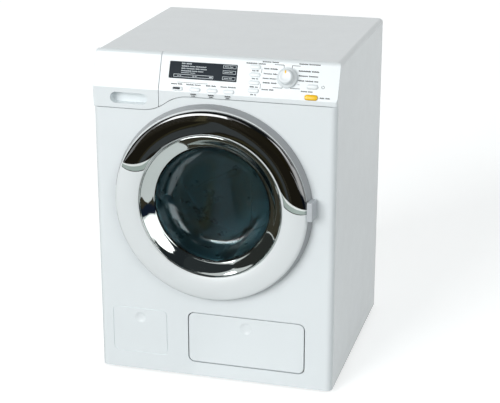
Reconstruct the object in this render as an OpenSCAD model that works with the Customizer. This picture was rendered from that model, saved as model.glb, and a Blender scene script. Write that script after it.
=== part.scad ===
// Toy front-loading washing machine, as an assembly of separate pieces.
// Millimetres. +Z is up and the door faces -Y. The origin lies on the floor, under the
// middle of the whole machine with its door shut.

/* [Cabinet] */
// Width of the cabinet
body_w = 185; // [180:1:200]
// Depth of the cabinet, without the door
body_d = 176; // [172:1:190]
// Height of the cabinet above its feet
body_h = 252.5; // [250:0.5:262]
// Wall thickness of the cabinet
wall = 2.4; // [2:0.1:3]
// Radius of the upright front edges
corner_r = 5; // [3:0.5:8]
// Radius of the long edges of the top
top_r = 3.5; // [3:0.5:5]
// Height of the feet
foot_h = 3.5; // [2.5:0.5:6]
// Radius of a foot
foot_r = 7.5; // [5:0.5:9]
// Distance of the foot centres from the sides of the cabinet
foot_inset = 20; // [16:1:28]

/* [Control panel] */
// Height of the leaning front
lean_h = 26; // [24:0.5:28]
// How far the top of the leaning front lies behind the upright front
panel_setback = 10.4; // [8:0.2:12]
// How far the seam under the control panel lies below the leaning front
seam_drop = 3.5; // [2.5:0.1:5]
// How far the seam under the detergent drawer lies below that of the control panel
seam_step = 12; // [10:0.5:14]
// Start of the rising part of that seam, from the machine's middle
seam_x0 = -54; // [-56:1:-52]
// End of the rising part of that seam
seam_x1 = -18; // [-20:1:-14]
// Place of the upright seam between drawer and control panel
split_x = -41; // [-43:0.5:-39]
// Thickness of the control panel and the drawer front
panel_t = 2.4; // [2:0.1:2.8]
// Width of the visible seams
seam = 0.5; // [0.3:0.1:0.8]
// Radius of the top front edge
brow_r = 3; // [2:0.5:4]
// Width of the display window
display_w = 51.5; // [46:0.5:54]
// Height of the display window along the slope
display_l = 12.6; // [10:0.2:14]
// Place of the display's middle across the machine
display_x = -8.4; // [-10:0.2:-6]
// Radius of the program knob's cap
knob_r = 5.4; // [4.5:0.1:5.8]
// Radius of the program knob's skirt
knob_skirt_r = 7.4; // [7:0.1:8.4]
// How far the program knob stands out of the control panel
knob_h = 8.5; // [7:0.5:11]
// Place of the knob across the machine
knob_x = 54.9; // [50:0.5:58]
// Length of the start button
start_w = 9.6; // [8:0.2:11]
// Length of the power button
power_w = 8; // [7:0.2:9]
// Travel of the push buttons
press = 1.2; // [0.8:0.1:1.5]

/* [Detergent drawer] */
// How far the drawer's tray reaches into the cabinet
tray_d = 72; // [60:1:85]
// Wall thickness of the tray
tray_wall = 1.6; // [1.2:0.1:2]
// Length of the finger recess
grip_w = 29; // [24:1:34]
// Height of the finger recess
grip_h = 8.4; // [7:0.2:9]
// Depth of the finger recess
grip_d = 7; // [5:0.5:9]

/* [Door] */
// Gap between the door and the seam under the control panel
brow_gap = 4; // [3.5:0.1:5]
// Gap between the door and the water tank's front
sill_gap = 13.9; // [12:0.1:16]
// Gap between the door and the sides of the cabinet
side_gap = 16.1; // [14:0.1:18]
// How much the door narrows towards its front edge
door_taper = 2.8; // [2.2:0.1:3.2]
// How far the door stands out of the cabinet
door_proud = 12; // [11.5:0.1:13]
// Width of the white ring
ring_w = 18.6; // [17:0.1:19.4]
// Width of the plated cone round the glass
cone_w = 10; // [9:0.1:11]
// How deep the glass bowl reaches behind the cabinet's front
bowl_d = 17; // [12:1:20]
// Wall thickness of the glass bowl
glass_t = 1.8; // [1.4:0.1:2.2]
// Tilt of the dark mirror trim, clockwise
trim_tilt = 10; // [0:1:14]
// Radius of the hinge pin
pin_r = 0.9; // [0.7:0.05:1]
// Radius of the hinge knuckles
knuckle_r = 1.8; // [1.6:0.05:2]
// Height of the hinge pin in front of the cabinet
pin_y = 5; // [4.8:0.1:5.4]

/* [Drum and tub] */
// Gap between the tub and the drum in it
drum_gap = 5; // [4:0.5:7]
// Length of the drum
drum_l = 92; // [80:1:96]
// Wall thickness of the drum
drum_t = 1.6; // [1.4:0.1:2]
// Width of the lip round the drum's mouth
lip_w = 11.5; // [10:0.5:13]
// Radius of the holes in the drum's wall
hole_r = 2.2; // [1.5:0.1:2.6]
// Holes round the drum in one row
holes_round = 18; // [12:3:18]
// Rows of holes
hole_rows = 4; // [3:1:5]
// Height of the lifters inside the drum
lifter_h = 9; // [7:1:12]
// How much wider the tub is than the opening in front of it
tub_lap = 6; // [5.5:0.1:6.5]
// Wall thickness of the tub
tub_t = 2; // [1.8:0.1:2.2]
// Radius of the drum's shaft
shaft_r = 3; // [2.5:0.25:3.5]
// Width of the door's rim outside the round opening in the cabinet's front
door_lap = 15.9; // [15.4:0.1:16.4]

/* [Gear train] */
// Size of a gear tooth (module)
gear_m = 1.25; // [1.15:0.05:1.3]
// Teeth of the gear on the drum's shaft
drum_teeth = 48; // [44:2:50]
// Teeth of the idler's small gear
idler_teeth = 14; // [14:1:16]
// Teeth of the idler's large gear
wheel_teeth = 40; // [36:2:42]
// Teeth of the motor's pinion
pinion_teeth = 14; // [14:1:16]
// Width of the gears
gear_w = 5; // [4:0.5:5.5]
// Radius of the motor
motor_r = 12; // [10:0.5:13]
// Length of the motor
motor_l = 30; // [24:1:34]

/* [Water tank] */
// Width of the tank's front
tank_w = 91; // [84:0.5:93]
// Height of the tank's front
tank_h = 40.2; // [36:0.2:42]
// Place of the tank's middle across the machine
tank_x = 25.2; // [22:0.2:28]
// Height of the tank front's middle above the cabinet's bottom edge
tank_z = 32.2; // [31:0.2:34]
// How far the tank reaches into the cabinet
tank_d = 98; // [80:1:104]
// Wall thickness of the tank
tank_wall = 1.8; // [1.4:0.1:2.4]
// Gap round the tank's front
tank_gap = 0.8; // [0.5:0.1:1]

/* [Batteries] */
// Radius of a battery
cell_r = 13; // [12:0.5:13]
// Length of a battery
cell_l = 49; // [47:0.5:50]
// Number of batteries
cells = 4; // [3:1:4]

/* [Hidden] */
$fn = 96;

fit = 0.05;             // radial play of a shaft in its bore
clear = 0.3;            // gap between pieces that move past each other
crease_h = body_h - lean_h;
panel_seam_h = crease_h - seam_drop;
drawer_seam_h = panel_seam_h - seam_step;
// The door takes its radius from the room over the tank's front and the room between the
// sides, which are alike here.
door_room_h = panel_seam_h - tank_z - tank_h/2 - brow_gap - sill_gap;
door_room_w = body_w - 2*side_gap;
door_r = door_room_h*door_room_w/(door_room_h + door_room_w);
door_h = panel_seam_h - brow_gap - door_r;
lip_r = door_r - door_taper;
rim_r = lip_r - ring_w;
glass_r = rim_r - cone_w;
port_r = door_r - door_lap;
tub_r = port_r + tub_lap;
drum_r = tub_r - drum_gap;
mouth_r = drum_r - lip_w;
front_y = -(body_d - door_proud)/2;
rear_y = front_y + body_d;
inner_y = front_y + wall;
top_z = foot_h + body_h;
lean = atan(panel_setback/(body_h - crease_h));
crease_z = foot_h + crease_h;
door_z = foot_h + door_h;
brow_s = (top_z - brow_r - crease_z + brow_r*sin(lean))/cos(lean);
brow_y = front_y + brow_s*sin(lean) + brow_r*cos(lean);
top_seam_y = brow_y + 0.6;
panel_seam_z = foot_h + panel_seam_h;
drawer_seam_z = foot_h + drawer_seam_h;
rear_inset = 1.2;       // the rear panel lies this far inside the cabinet's back edge
rear_t = 2.2;
panel_y = rear_y - rear_inset - rear_t;   // inner face of the rear panel

// ---------- plane outlines ----------

function arc(c, r, a0, a1, n) =
  [for (i = [0:n]) let (a = a0 + (a1 - a0)*i/n) c + r*[cos(a), sin(a)]];

// The seam under drawer and control panel: two equal arcs join its two levels.
seam_dx = seam_x1 - seam_x0;
seam_dz = panel_seam_z - drawer_seam_z;
seam_r = (seam_dx*seam_dx + seam_dz*seam_dz)/(4*seam_dz);
seam_a = 2*atan(seam_dz/seam_dx);
function seam_line(dz) = concat(
  [[-body_w/2 - 1, drawer_seam_z + dz]],
  arc([seam_x0, drawer_seam_z + seam_r + dz], seam_r, -90, -90 + seam_a, 8),
  arc([seam_x1, panel_seam_z - seam_r + dz], seam_r, 90 + seam_a, 90, 8),
  [[body_w/2 + 1, panel_seam_z + dz]]);

// Everything above the seam, seen from the front.
module above_seam(dz)
  polygon(concat(seam_line(dz), [[body_w/2 + 1, top_z + 2], [-body_w/2 - 1, top_z + 2]]));

// Rectangle with corners of radius rf at its low-y side and rr at its high-y side.
module box_plan(w, y0, y1, rf, rr) {
  translate([-w/2, y0 + rf]) square([w, y1 - y0 - rf - rr]);
  translate([-w/2 + rf, y0]) square([w - 2*rf, rf]);
  translate([-w/2 + rr, y1 - rr]) square([w - 2*rr, rr]);
  for (s = [-1, 1]) {
    translate([s*(w/2 - rf), y0 + rf]) circle(rf);
    translate([s*(w/2 - rr), y1 - rr]) circle(rr);
  }
}

module rounded(w, h, r) {
  square([w - 2*r, h], center = true);
  square([w, h - 2*r], center = true);
  for (x = [-1, 1], y = [-1, 1]) translate([x*(w/2 - r), y*(h/2 - r)]) circle(r);
}

// A slot shape with round ends, w long and h high.
module pill(w, h) {
  square([w - h, h], center = true);
  for (x = [-1, 1]) translate([x*(w - h)/2, 0]) circle(h/2);
}

// Side view of the cabinet, all round smaller by i.
module side_view(i) {
  r = brow_r - i > 0.4 ? brow_r - i : 0.4;
  c = [brow_y, top_z - i - r];
  back = rear_y + 2;
  union() {
    polygon([[front_y + i, 0], [front_y + i, crease_z - i*tan(lean/2)],
      [brow_y - (brow_r - i)*cos(lean), top_z - brow_r + (brow_r - i)*sin(lean)],
      [brow_y, top_z - i], [back, top_z - i], [back, 0]]);
    translate(c) circle(r);
  }
}

// ---------- placing ----------

// Draws its outline in (y, z) and extends it along X.
module along_x(x0, x1) translate([x0, 0, 0]) rotate([90, 0, 90]) linear_extrude(x1 - x0) children();
// Draws its outline in (x, z) and extends it along Y.
module along_y(y0, y1) translate([0, y1, 0]) rotate([90, 0, 0]) linear_extrude(y1 - y0) children();
// Local z points out of the front, with z = 0 on the cabinet's front.
module at_door() translate([0, front_y, door_z]) rotate([90, 0, 0]) children();
// Local x across, local y up the slope from the crease, local z out of the leaning panel.
module on_panel() translate([0, front_y, crease_z]) rotate([90 - lean, 0, 0]) children();
// Local z points to the back of the machine along the drum's axis, z = 0 on the front.
module at_axis(y) translate([0, front_y + y, door_z]) rotate([-90, 0, 0]) children();

// ---------- cabinet ----------

module outer_block(i, z0) {
  intersection() {
    translate([0, 0, z0]) linear_extrude(top_z - i - z0)
      box_plan(body_w - 2*i, front_y + i, rear_y + (i > 0 ? 2 : 0),
        corner_r - i > 1 ? corner_r - i : 1, 1);
    along_y(front_y - 1, rear_y + 3) {
      edge = top_r - i > 0.8 ? top_r - i : 0.8;
      translate([-body_w/2 + i, z0]) square([body_w - 2*i, top_z - i - z0 - edge]);
      translate([-body_w/2 + i + edge, z0]) square([body_w - 2*i - 2*edge, top_z - i - z0]);
      for (s = [-1, 1]) translate([s*(body_w/2 - i - edge), top_z - i - edge]) circle(edge);
    }
    along_x(-body_w/2 - 1, body_w/2 + 1) side_view(i);
  }
}

boss_r = 4.2;
screw_r = 1.4;
rear_screw_x = body_w/2 - wall - boss_r + 0.8;
rear_screw_low = foot_h + 14;
rear_screw_high = top_z - wall - boss_r + 0.8;
module rear_screw_places()
  for (s = [-1, 1], z = [rear_screw_low, rear_screw_high]) translate([s*rear_screw_x, 0, z]) children();

square_w = 44.7;
square_h = 38.2;
square_r = 4.5;
square_x = -59.7;
square_z = foot_h + 33;
groove_w = 1;
groove_t = 0.5;
dimple_r = 5;
dimple_t = 1.2;
dimple_up = 10.8;
module dimple(x, z) {
  sphere_r = (dimple_r*dimple_r + dimple_t*dimple_t)/(2*dimple_t);
  translate([x, front_y - sphere_r + dimple_t, z]) sphere(sphere_r);
}

hinge_in = 3.9;          // distance of the hinge pin from the door's edge
latch_in = 2.3;          // and of the latch tongue
hinge_x = hinge_in - door_r;
hinge_half = 10.3;
arm_w = 2.6;
latch_x = door_r - latch_in;
latch_z = 3.65;
latch_half = 5;
tongue_t = 2.4;
tank_face_z = foot_h + tank_z;
// The tub's screw ears
ear_out = 5;
tub_hole_r = tub_r + ear_out;
tub_ear_a = [38, 142, 218, 322];
ear_r = 4.2;
ear_t = 3;
module cabinet() color("white") {
  difference() {
    union() {
      difference() {
        outer_block(0, foot_h);
        outer_block(wall, foot_h - 1);
      }
      rear_screw_places() along_y(panel_y - 22, panel_y) circle(boss_r);
    }
    // seat of the control panel and of the drawer front
    difference() {
      along_y(front_y - 1, top_seam_y + seam) above_seam(-seam/2);
      along_x(-body_w/2 - 1, body_w/2 + 1) side_view(panel_t + seam/2);
    }
    rear_screw_places() along_y(panel_y - 20, panel_y + 0.1) circle(screw_r);
    at_door() translate([0, 0, -wall - 1]) cylinder(h = wall + 2, r = port_r);
    // opening of the water tank
    along_y(front_y - 1, inner_y + 1) translate([tank_x, tank_face_z])
      rounded(tank_w + 2*tank_gap, tank_h + 2*tank_gap, tank_r + tank_gap);
    // engraved square with its dimple
    along_y(front_y - 1, front_y + groove_t) translate([square_x, square_z]) difference() {
      rounded(square_w, square_h, square_r);
      rounded(square_w - 2*groove_w, square_h - 2*groove_w, square_r - groove_w);
    }
    dimple(square_x, square_z + dimple_up);
    // windows of hinge and latch, behind the door
    translate([hinge_x - arm_w/2 - clear, front_y - 1, door_z - hinge_half - clear])
      cube([arm_w + 2*clear, wall + 2, 2*hinge_half + 2*clear]);
    translate([latch_x - tongue_t/2 - 2*clear, front_y - 1, door_z + latch_z - latch_half - clear])
      cube([tongue_t + 6*clear, wall + 2, 2*latch_half + 2*clear]);
    // screw holes of the tub
    at_door() for (a = tub_ear_a) rotate(a) translate([tub_hole_r, 0, -wall - 1])
      cylinder(h = wall + 0.2, r = screw_r);
  }
}

base_z = foot_h + 0.6;
base_t = 2.4;
base_top = base_z + base_t;
foot_peg_r = 3;
module foot_places() for (x = [-1, 1], y = [0, 1])
  translate([x*(body_w/2 - foot_inset), y ? rear_y - foot_inset : front_y + foot_inset, 0]) children();
module base_plate() color("gainsboro") {
  edge = 0.2;
  rib_h = 5;
  difference() {
    union() {
      translate([0, 0, base_z]) linear_extrude(base_t)
        box_plan(body_w - 2*wall - 2*edge, inner_y + edge, panel_y - edge, corner_r - wall, 0.8);
      for (s = [-1, 1]) translate([s*(body_w/2 - wall - 9) - 0.8, inner_y + 8, base_top - 0.1])
        cube([1.6, panel_y - inner_y - 16, rib_h + 0.1]);
    }
    foot_places() translate([0, 0, base_z - 1]) cylinder(h = base_t + 2, r = foot_peg_r);
  }
}

module feet() color("dimgray") foot_places() {
  cylinder(h = foot_h - 0.8, r1 = foot_r - 0.6, r2 = foot_r);
  translate([0, 0, foot_h - 0.8]) cylinder(h = 0.8 + base_z - foot_h, r = foot_r);
  translate([0, 0, base_z]) cylinder(h = base_t, r = foot_peg_r);
}

speaker_r = 18;
speaker_x = -42;
speaker_drop = 62.5;     // distance of the loudspeaker from the top
speaker_z = top_z - speaker_drop;
bay_wall = 1.6;
bay_w = cells*(2*cell_r + 1) + 4;
bay_h = cell_l + 6;
bay_d = 2*cell_r + 1.5;
bay_z = foot_h + 9;
bay_y = panel_y - bay_d;
cover_lip = 4;
cover_screw_r = 1.15;
cover_screw_z = bay_z + bay_h + cover_lip/2 - 0.4;
sound_pitch = 3.9;
sound_r = 1.2;
vent_w = 34;
vent_h = 2.6;
vent_pitch = 7;
vents = 8;
module rear_panel() color("whitesmoke") {
  difference() {
    along_y(panel_y, rear_y - rear_inset) difference() {
      translate([0, foot_h + 0.6 + (body_h - wall - 0.8)/2])
        rounded(body_w - 2*wall - 0.4, body_h - wall - 0.8, 1.5);
      for (x = [-1, 1], i = [0:vents - 1])
        translate([x*20, door_z - 24 + i*vent_pitch]) pill(vent_w, vent_h);
      for (r = [0:3], i = [0:max(6*r - 1, 0)])
        translate([speaker_x, speaker_z]) rotate(60*i/max(r, 1)) translate([sound_pitch*r, 0])
          circle(sound_r);
      translate([0, bay_z + bay_h/2]) square([bay_w - 2*bay_wall, bay_h - 2*bay_wall], center = true);
    }
    // rebate of the battery cover
    along_y(rear_y - rear_inset - 1.2, rear_y) translate([0, bay_z + bay_h/2])
      rounded(bay_w + 2*cover_lip + 0.4, bay_h + 2*cover_lip + 0.4, 3.2);
    rear_screw_places() along_y(panel_y - 1, rear_y) circle(screw_r + 0.3);
    translate([0, 0, cover_screw_z]) along_y(panel_y - 1, rear_y) circle(cover_screw_r + 0.02);
  }
}

module screw(head_r, head_h, length, r) {
  difference() {
    cylinder(h = head_h, r1 = head_r, r2 = head_r*0.8);
    for (a = [0, 90]) rotate(a) translate([-head_r*0.6, -0.35, head_h - 0.7]) cube([head_r*1.2, 0.7, 1]);
  }
  translate([0, 0, -length]) cylinder(h = length, r = r);
}

module casing_screws() color("silver") rear_screw_places()
  translate([0, rear_y - rear_inset, 0]) rotate([-90, 0, 0]) screw(3, 1.1, 14, screw_r - 0.02);

// ---------- control panel ----------

start_v = 2.3;
start_side = 19.2;       // distance of the start button from the side, and of the power button
power_side = 18.9;
start_x = body_w/2 - start_side;
start_h = 3.8;
power_v = 10;
power_x = body_w/2 - power_side;
power_h = 3.2;
knob_v = 15.2;
display_v = 16;
switch_depth = 8.5;
knob_pin_r = 2;
module panel_holes() on_panel() {
  translate([start_x, start_v, -5]) linear_extrude(10) pill(start_w + 2*0.15, start_h + 2*0.15);
  translate([power_x, power_v, -5]) linear_extrude(10) pill(power_w + 2*0.15, power_h + 2*0.15);
  translate([knob_x, knob_v, -5]) cylinder(h = 10, r = knob_pin_r + 0.4);
  translate([display_x, display_v, -0.6]) linear_extrude(2) square([display_w, display_l], center = true);
}

moulding_r = 1.6;       // radius of the side edges of drawer front and control panel
// The moulded front above the seam, between two upright planes.
module front_moulding(x0, x1) intersection() {
  along_y(front_y - 1, top_seam_y) intersection() {
    above_seam(seam/2);
    translate([x0, 0]) square([x1 - x0, top_z + 2]);
  }
  difference() {
    along_x(x0, x1) side_view(0);
    along_x(x0 - 1, x1 + 1) side_view(panel_t);
  }
  linear_extrude(top_z + 1) box_plan(body_w, front_y, rear_y, moulding_r, 1);
  along_y(front_y - 1, rear_y) {
    translate([-body_w/2, 0]) square([body_w, top_z - moulding_r]);
    translate([-body_w/2 + moulding_r, 0]) square([body_w - 2*moulding_r, top_z]);
    for (s = [-1, 1]) translate([s*(body_w/2 - moulding_r), top_z - moulding_r]) circle(moulding_r);
  }
}

board_v0 = 2;
board_v1 = 23.5;
board_x0 = -36;
board_side = 8.5;
board_x1 = body_w/2 - board_side;
board_z = -panel_t - switch_depth;
post_r = 2.2;
board_t = 1.6;
module post_places()
  for (x = [board_x0 + 4, board_x1 - 4]) translate([x, (board_v0 + board_v1)/2]) children();
// Tongues that reach down behind the cabinet's front
tongue_x = [0, 29, 58];
tongue_w = 12;
tongue_l = 5;
module control_panel() color("white") {
  difference() {
    union() {
      front_moulding(split_x + seam/2, body_w/2);
      for (x = tongue_x) translate([x - tongue_w/2, inner_y + 0.1, panel_seam_z - tongue_l]) difference() {
        cube([tongue_w, 1.4, tongue_l + 4]);
        translate([-1, 1.4, -0.4]) rotate([45, 0, 0]) cube([tongue_w + 2, 1, 1]);
      }
      for (x = tongue_x) translate([x - tongue_w/2, front_y + panel_t - 0.1, panel_seam_z + seam/2])
        cube([tongue_w, 1.6, 3]);
      on_panel() post_places() translate([0, 0, board_z]) cylinder(h = switch_depth + 0.2, r = post_r);
    }
    panel_holes();
  }
}

module display_window() color("#2c333a") on_panel()
  translate([display_x, display_v, -0.6]) linear_extrude(0.8)
    square([display_w - 0.2, display_l - 0.2], center = true);

row_x = [-26.4, -13.1, -0.1, 12.5];
row_v = 2.4;
column_x = 30.6;
column_v = [21.6, 16, 10.2, 4.4];
module bump(w, h) {
  linear_extrude(0.4) pill(w, h);
  translate([0, 0, 0.4]) linear_extrude(0.3) pill(w - 0.6, h - 0.6);
}
module option_buttons() color("whitesmoke") on_panel() {
  for (x = row_x) translate([x, row_v, 0]) bump(7.6, 2.9);
  for (v = column_v) translate([column_x, v, 0]) bump(7.6, 2.9);
}

module circuit_board() color("darkgreen") on_panel() difference() {
  translate([board_x0, board_v0, board_z - board_t])
    cube([board_x1 - board_x0, board_v1 - board_v0, board_t]);
  translate([knob_x, knob_v, board_z - 2]) cylinder(h = 3, r = knob_pin_r + 1.2);
  post_places() translate([0, 0, board_z - 2]) cylinder(h = 3, r = 1);
}

module rotary_switch() color("dimgray") on_panel() translate([knob_x, knob_v, board_z]) difference() {
  cylinder(h = switch_depth - 2.5, r = 6.2);
  translate([0, 0, -1]) cylinder(h = switch_depth + 2, r = knob_pin_r + fit);
}

stem_l = 4.2;
switch_top = switch_depth - stem_l - press - 0.6;
module button_switches() color("black") on_panel()
  for (p = [[start_x, start_v + 0.6], [power_x, power_v]]) translate([p.x, p.y, board_z]) {
    linear_extrude(switch_top) square([5, 3.4], center = true);
    translate([0, 0, switch_top]) cylinder(h = 0.6, r = 1.2);
  }

module speaker() color("dimgray") translate([speaker_x, panel_y, speaker_z]) rotate([90, 0, 0]) {
  difference() {
    cylinder(h = 3, r = speaker_r);
    translate([0, 0, -1]) cylinder(h = 2.5, r = speaker_r - 3);
  }
  translate([0, 0, 3]) cylinder(h = 5, r1 = speaker_r - 2, r2 = 9);
  translate([0, 0, 8]) cylinder(h = 4, r = 9);
}

mark_w = 1.1;
mark_l = 1.9;
mark_t = 0.5;
mark_v = knob_r - 2.1;
module program_knob() color("white") on_panel() translate([knob_x, knob_v, 0]) difference() {
  skirt_h = 2.6;
  rotate_extrude() polygon(concat([[0, clear], [knob_skirt_r, clear]],
    arc([knob_skirt_r - 1.2, skirt_h - 1.2], 1.2, 0, 80, 5),
    [[knob_r + 0.5, skirt_h], [knob_r, skirt_h + 0.5]],
    arc([knob_r - 1, knob_h - 1], 1, 0, 90, 5), [[0, knob_h]]));
  translate([0, 0, -1]) cylinder(h = knob_h - 1, r = knob_pin_r);
  translate([0, mark_v, knob_h - mark_t]) linear_extrude(1)
    square([mark_w + 0.1, mark_l + 0.1], center = true);
}

module knob_mark() color("gold") on_panel() translate([knob_x, knob_v + mark_v, knob_h - mark_t])
  linear_extrude(mark_t + 0.1) square([mark_w, mark_l], center = true);

module knob_spindle() color("silver") on_panel() translate([knob_x, knob_v, board_z - 2.2])
  cylinder(h = knob_h - 2 - board_z + 2.2, r = knob_pin_r);

// A push button: cap above the panel, flange below it, and a stem to its switch.
module push_button(w, h, proud) {
  translate([0, 0, -panel_t - 0.1]) linear_extrude(proud - 0.5 + panel_t + 0.1) pill(w, h);
  translate([0, 0, proud - 0.5]) linear_extrude(0.5) pill(w - 0.8, h - 0.8);
  translate([0, 0, -panel_t - clear - 1]) linear_extrude(1) pill(w + 2, h + 1.4);
  translate([0, 0, -panel_t - clear - 0.1]) linear_extrude(clear) pill(w, h);
  translate([0, 0, -panel_t - stem_l + 0.1]) cylinder(h = stem_l - 0.5, r = 1.4);
}
module start_button() color("#ffc400") on_panel() translate([start_x, start_v, 0])
  push_button(start_w, start_h, 1.5);
module power_button() color("white") on_panel() translate([power_x, power_v, 0])
  push_button(power_w, power_h, 1.3);

// ---------- detergent drawer ----------

tray_side = 7.5;         // distance of the tray from the cabinet's side
tray_x0 = -body_w/2 + tray_side;
tray_split = 6.5;        // distance of the tray from the upright seam
tray_x1 = split_x - tray_split;
tray_z0 = drawer_seam_z + 5;
tray_z1 = top_z - 12;
tray_y1 = front_y + tray_d;
grip_shift = 1.95;       // the recess lies this far right of the tray's middle
grip_drop = 7.7;         // and this far below the crease
grip_x = (tray_x0 + tray_x1)/2 + grip_shift;
grip_z = crease_z - grip_drop;
module finger_recess(g) along_y(front_y - 1, front_y + grip_d + g)
  translate([grip_x, grip_z]) pill(grip_w + 2*g, grip_h + 2*g);
module drawer_front() color("white") difference() {
  union() {
    front_moulding(-body_w/2, split_x - seam/2);
    intersection() {
      finger_recess(recess_t);
      translate([-body_w/2, front_y + 1, 0]) cube([body_w/2, grip_d + 3, top_z]);
    }
  }
  finger_recess(0);
}

// The tray's two rows of compartments, behind the recess of the front
recess_t = 1.5;
comp_y0 = front_y + grip_d + 5;
comp_w = (tray_x1 - tray_x0 - 3*tray_wall)/2;
comp_y1 = (comp_y0 + tray_y1)/2;
comp_l = (tray_y1 - comp_y0)/2 - tray_wall;
comp_z0 = tray_z0 + tray_wall;
comp_x1 = tray_x1 - tray_wall - comp_w;
tray_y0 = comp_y0 - tray_wall;
rail_z = tray_z1 - 3;
rail_w = 1.7;
module drawer_tray() color("white") {
  difference() {
    translate([tray_x0, tray_y0, tray_z0]) cube([tray_x1 - tray_x0, tray_y1 - tray_y0, tray_z1 - tray_z0]);
    translate([tray_x0 + tray_wall, comp_y0, comp_z0])
      cube([tray_x1 - tray_x0 - 2*tray_wall, 2*comp_l + tray_wall, tray_z1]);
    // drain slots in the rear wall
    for (x = [tray_x0 + 6, tray_x0 + 12]) translate([x, tray_y1 - 3, comp_z0]) cube([3, 4, 6]);
  }
  for (x = [tray_x0 - rail_w, tray_x1 - 0.1]) translate([x, front_y + 20, rail_z])
    cube([rail_w + 0.1, tray_d - 20, 1.8]);
  // cheeks that carry the front, over its recess
  intersection() {
    for (x = [tray_x0, tray_x1 - tray_wall])
      translate([x, front_y, grip_z + grip_h/2 + recess_t + 0.5])
        cube([tray_wall, tray_y0 - front_y + 0.1, tray_z1 - grip_z - grip_h/2 - recess_t - 0.5]);
    along_x(tray_x0 - 1, tray_x1 + 1) side_view(panel_t);
  }
}

// The walls between the compartments
divider_h = tray_z1 - comp_z0 - 1;
module tray_divider() color("white") translate([comp_x1 - tray_wall, comp_y0, comp_z0]) {
  cube([tray_wall, 2*comp_l + tray_wall, divider_h]);
  translate([tray_wall - 0.1, comp_l, 0]) cube([comp_w + 0.1, tray_wall, divider_h]);
}

// A plate in the rear compartment, with the siphon's tube under it and a grip on it
siphon_z = tray_z1 - 6;
siphon_t = 1.4;
module siphon_cap() color("lightskyblue")
  translate([comp_x1 + comp_w/2, comp_y1 + comp_l/2, 0]) difference() {
    union() {
      translate([0, 0, siphon_z]) linear_extrude(siphon_t)
        square([comp_w - 0.2, comp_l - 0.2], center = true);
      translate([0, 0, comp_z0 + 1.5]) cylinder(h = siphon_z - comp_z0, r = 3.4);
      translate([0, 0, siphon_z + siphon_t]) cylinder(h = 3.6, r = 1.2);
    }
    translate([0, 0, comp_z0]) cylinder(h = siphon_z - 2 - comp_z0, r = 2.4);
  }

house_t = 1.6;
house_x0 = tray_x0 - 2.4 - house_t;
house_x1 = tray_x1 + 2.4 + house_t;
house_z0 = tray_z0 - clear - house_t;
house_z1 = tray_z1 + 4;
house_y0 = front_y + 19;
house_y1 = tray_y1 + 6;
hose_in = 10.4;          // the hose meets the housing's floor this far from its right side
hose_a = atan2(house_z0 - door_z, house_x1 - hose_in);
hose_r = 6;
spigot_r = 4.4;
module hose_line() translate([0, front_y + tray_d - 14, door_z])
  rotate([0, -hose_a, 0]) rotate([0, 90, 0]) children();
hose_end = (house_z0 - 4.8 - door_z)/sin(hose_a);   // a little below the housing
house_w = house_x1 - house_x0;
house_l = house_y1 - house_y0;
side_x = -body_w/2 + wall;
hose_bore_r = spigot_r - 1.4;
runner_w = 2;
runner_t = 1.4;
module dispenser_housing() color("gainsboro") {
  difference() {
    union() {
      translate([house_x0, house_y0, house_z0]) cube([house_w, house_l, house_z1 - house_z0]);
      // wings that rest on the cabinet's side wall and under its top
      translate([side_x, house_y0, house_z0 + 6]) cube([house_x0 - side_x + 0.1, 16, 8]);
      translate([house_x0 + 6, house_y1 - 26, house_z1 - 0.1])
        cube([house_w - 12, 20, top_z - wall - house_z1 + 0.1]);
      hose_line() translate([0, 0, hose_end - 6]) cylinder(h = 16, r = spigot_r);
    }
    translate([house_x0 + house_t, house_y0 - 1, house_z0 + house_t])
      cube([house_w - 2*house_t, house_l + 1 - house_t, house_z1 - house_z0 - 2*house_t]);
    hose_line() translate([0, 0, hose_end - 8]) cylinder(h = 24, r = hose_bore_r);
    // room above the roof stays open between the ribs
    translate([house_x0 + 9, house_y1 - 24, house_z1]) cube([house_w - 18, 16, top_z]);
  }
  // runners under the tray's rails
  for (x = [house_x0 + house_t - 0.1, house_x1 - house_t - runner_w])
    translate([x, house_y0, rail_z - clear - runner_t]) cube([runner_w + 0.1, house_l - house_t, runner_t]);
}

module fill_hose() color("dimgray") hose_line() translate([0, 0, tub_r + 1]) difference() {
  cylinder(h = hose_end - tub_r - 1, r = hose_r);
  translate([0, 0, -1]) cylinder(h = hose_end, r = spigot_r);
}

// ---------- door ----------

lip_h = 10.8;
flange_z0 = 0.6;
flange_z1 = 2.4;
ring_crown = 10.9;
shell_lap = 3;           // the shell reaches this far inside the rim
shell_in_r = rim_r - shell_lap;
glass_flange_r = shell_in_r - 2*clear;
wall_t = 1.6;
notch_top = 8.3;

// Height of the white ring's face over the cabinet's front, at radius r.
ring_out_r = lip_r - 0.8;
ring_mid = (ring_out_r + rim_r)/2;
ring_half = (ring_out_r - rim_r)/2;
crown_sag = 1.5;
crown_r = (ring_half*ring_half + crown_sag*crown_sag)/(2*crown_sag);
function ring_face(r, up) =
  [r, ring_crown + up - crown_r + sqrt(crown_r*crown_r - (r - ring_mid)*(r - ring_mid))];
function ring_curve(r0, r1, up, n) = [for (i = [0:n]) ring_face(r0 + (r1 - r0)*i/n, up)];
face_in_r = rim_r + 0.2;
face_out_r = ring_out_r - 0.05;
// The face from its inner to its outer edge, and back.
function face_out(up) = ring_curve(face_in_r, face_out_r, up, 10);
function face_back(up) = ring_curve(face_out_r, face_in_r, up, 10);

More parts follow.
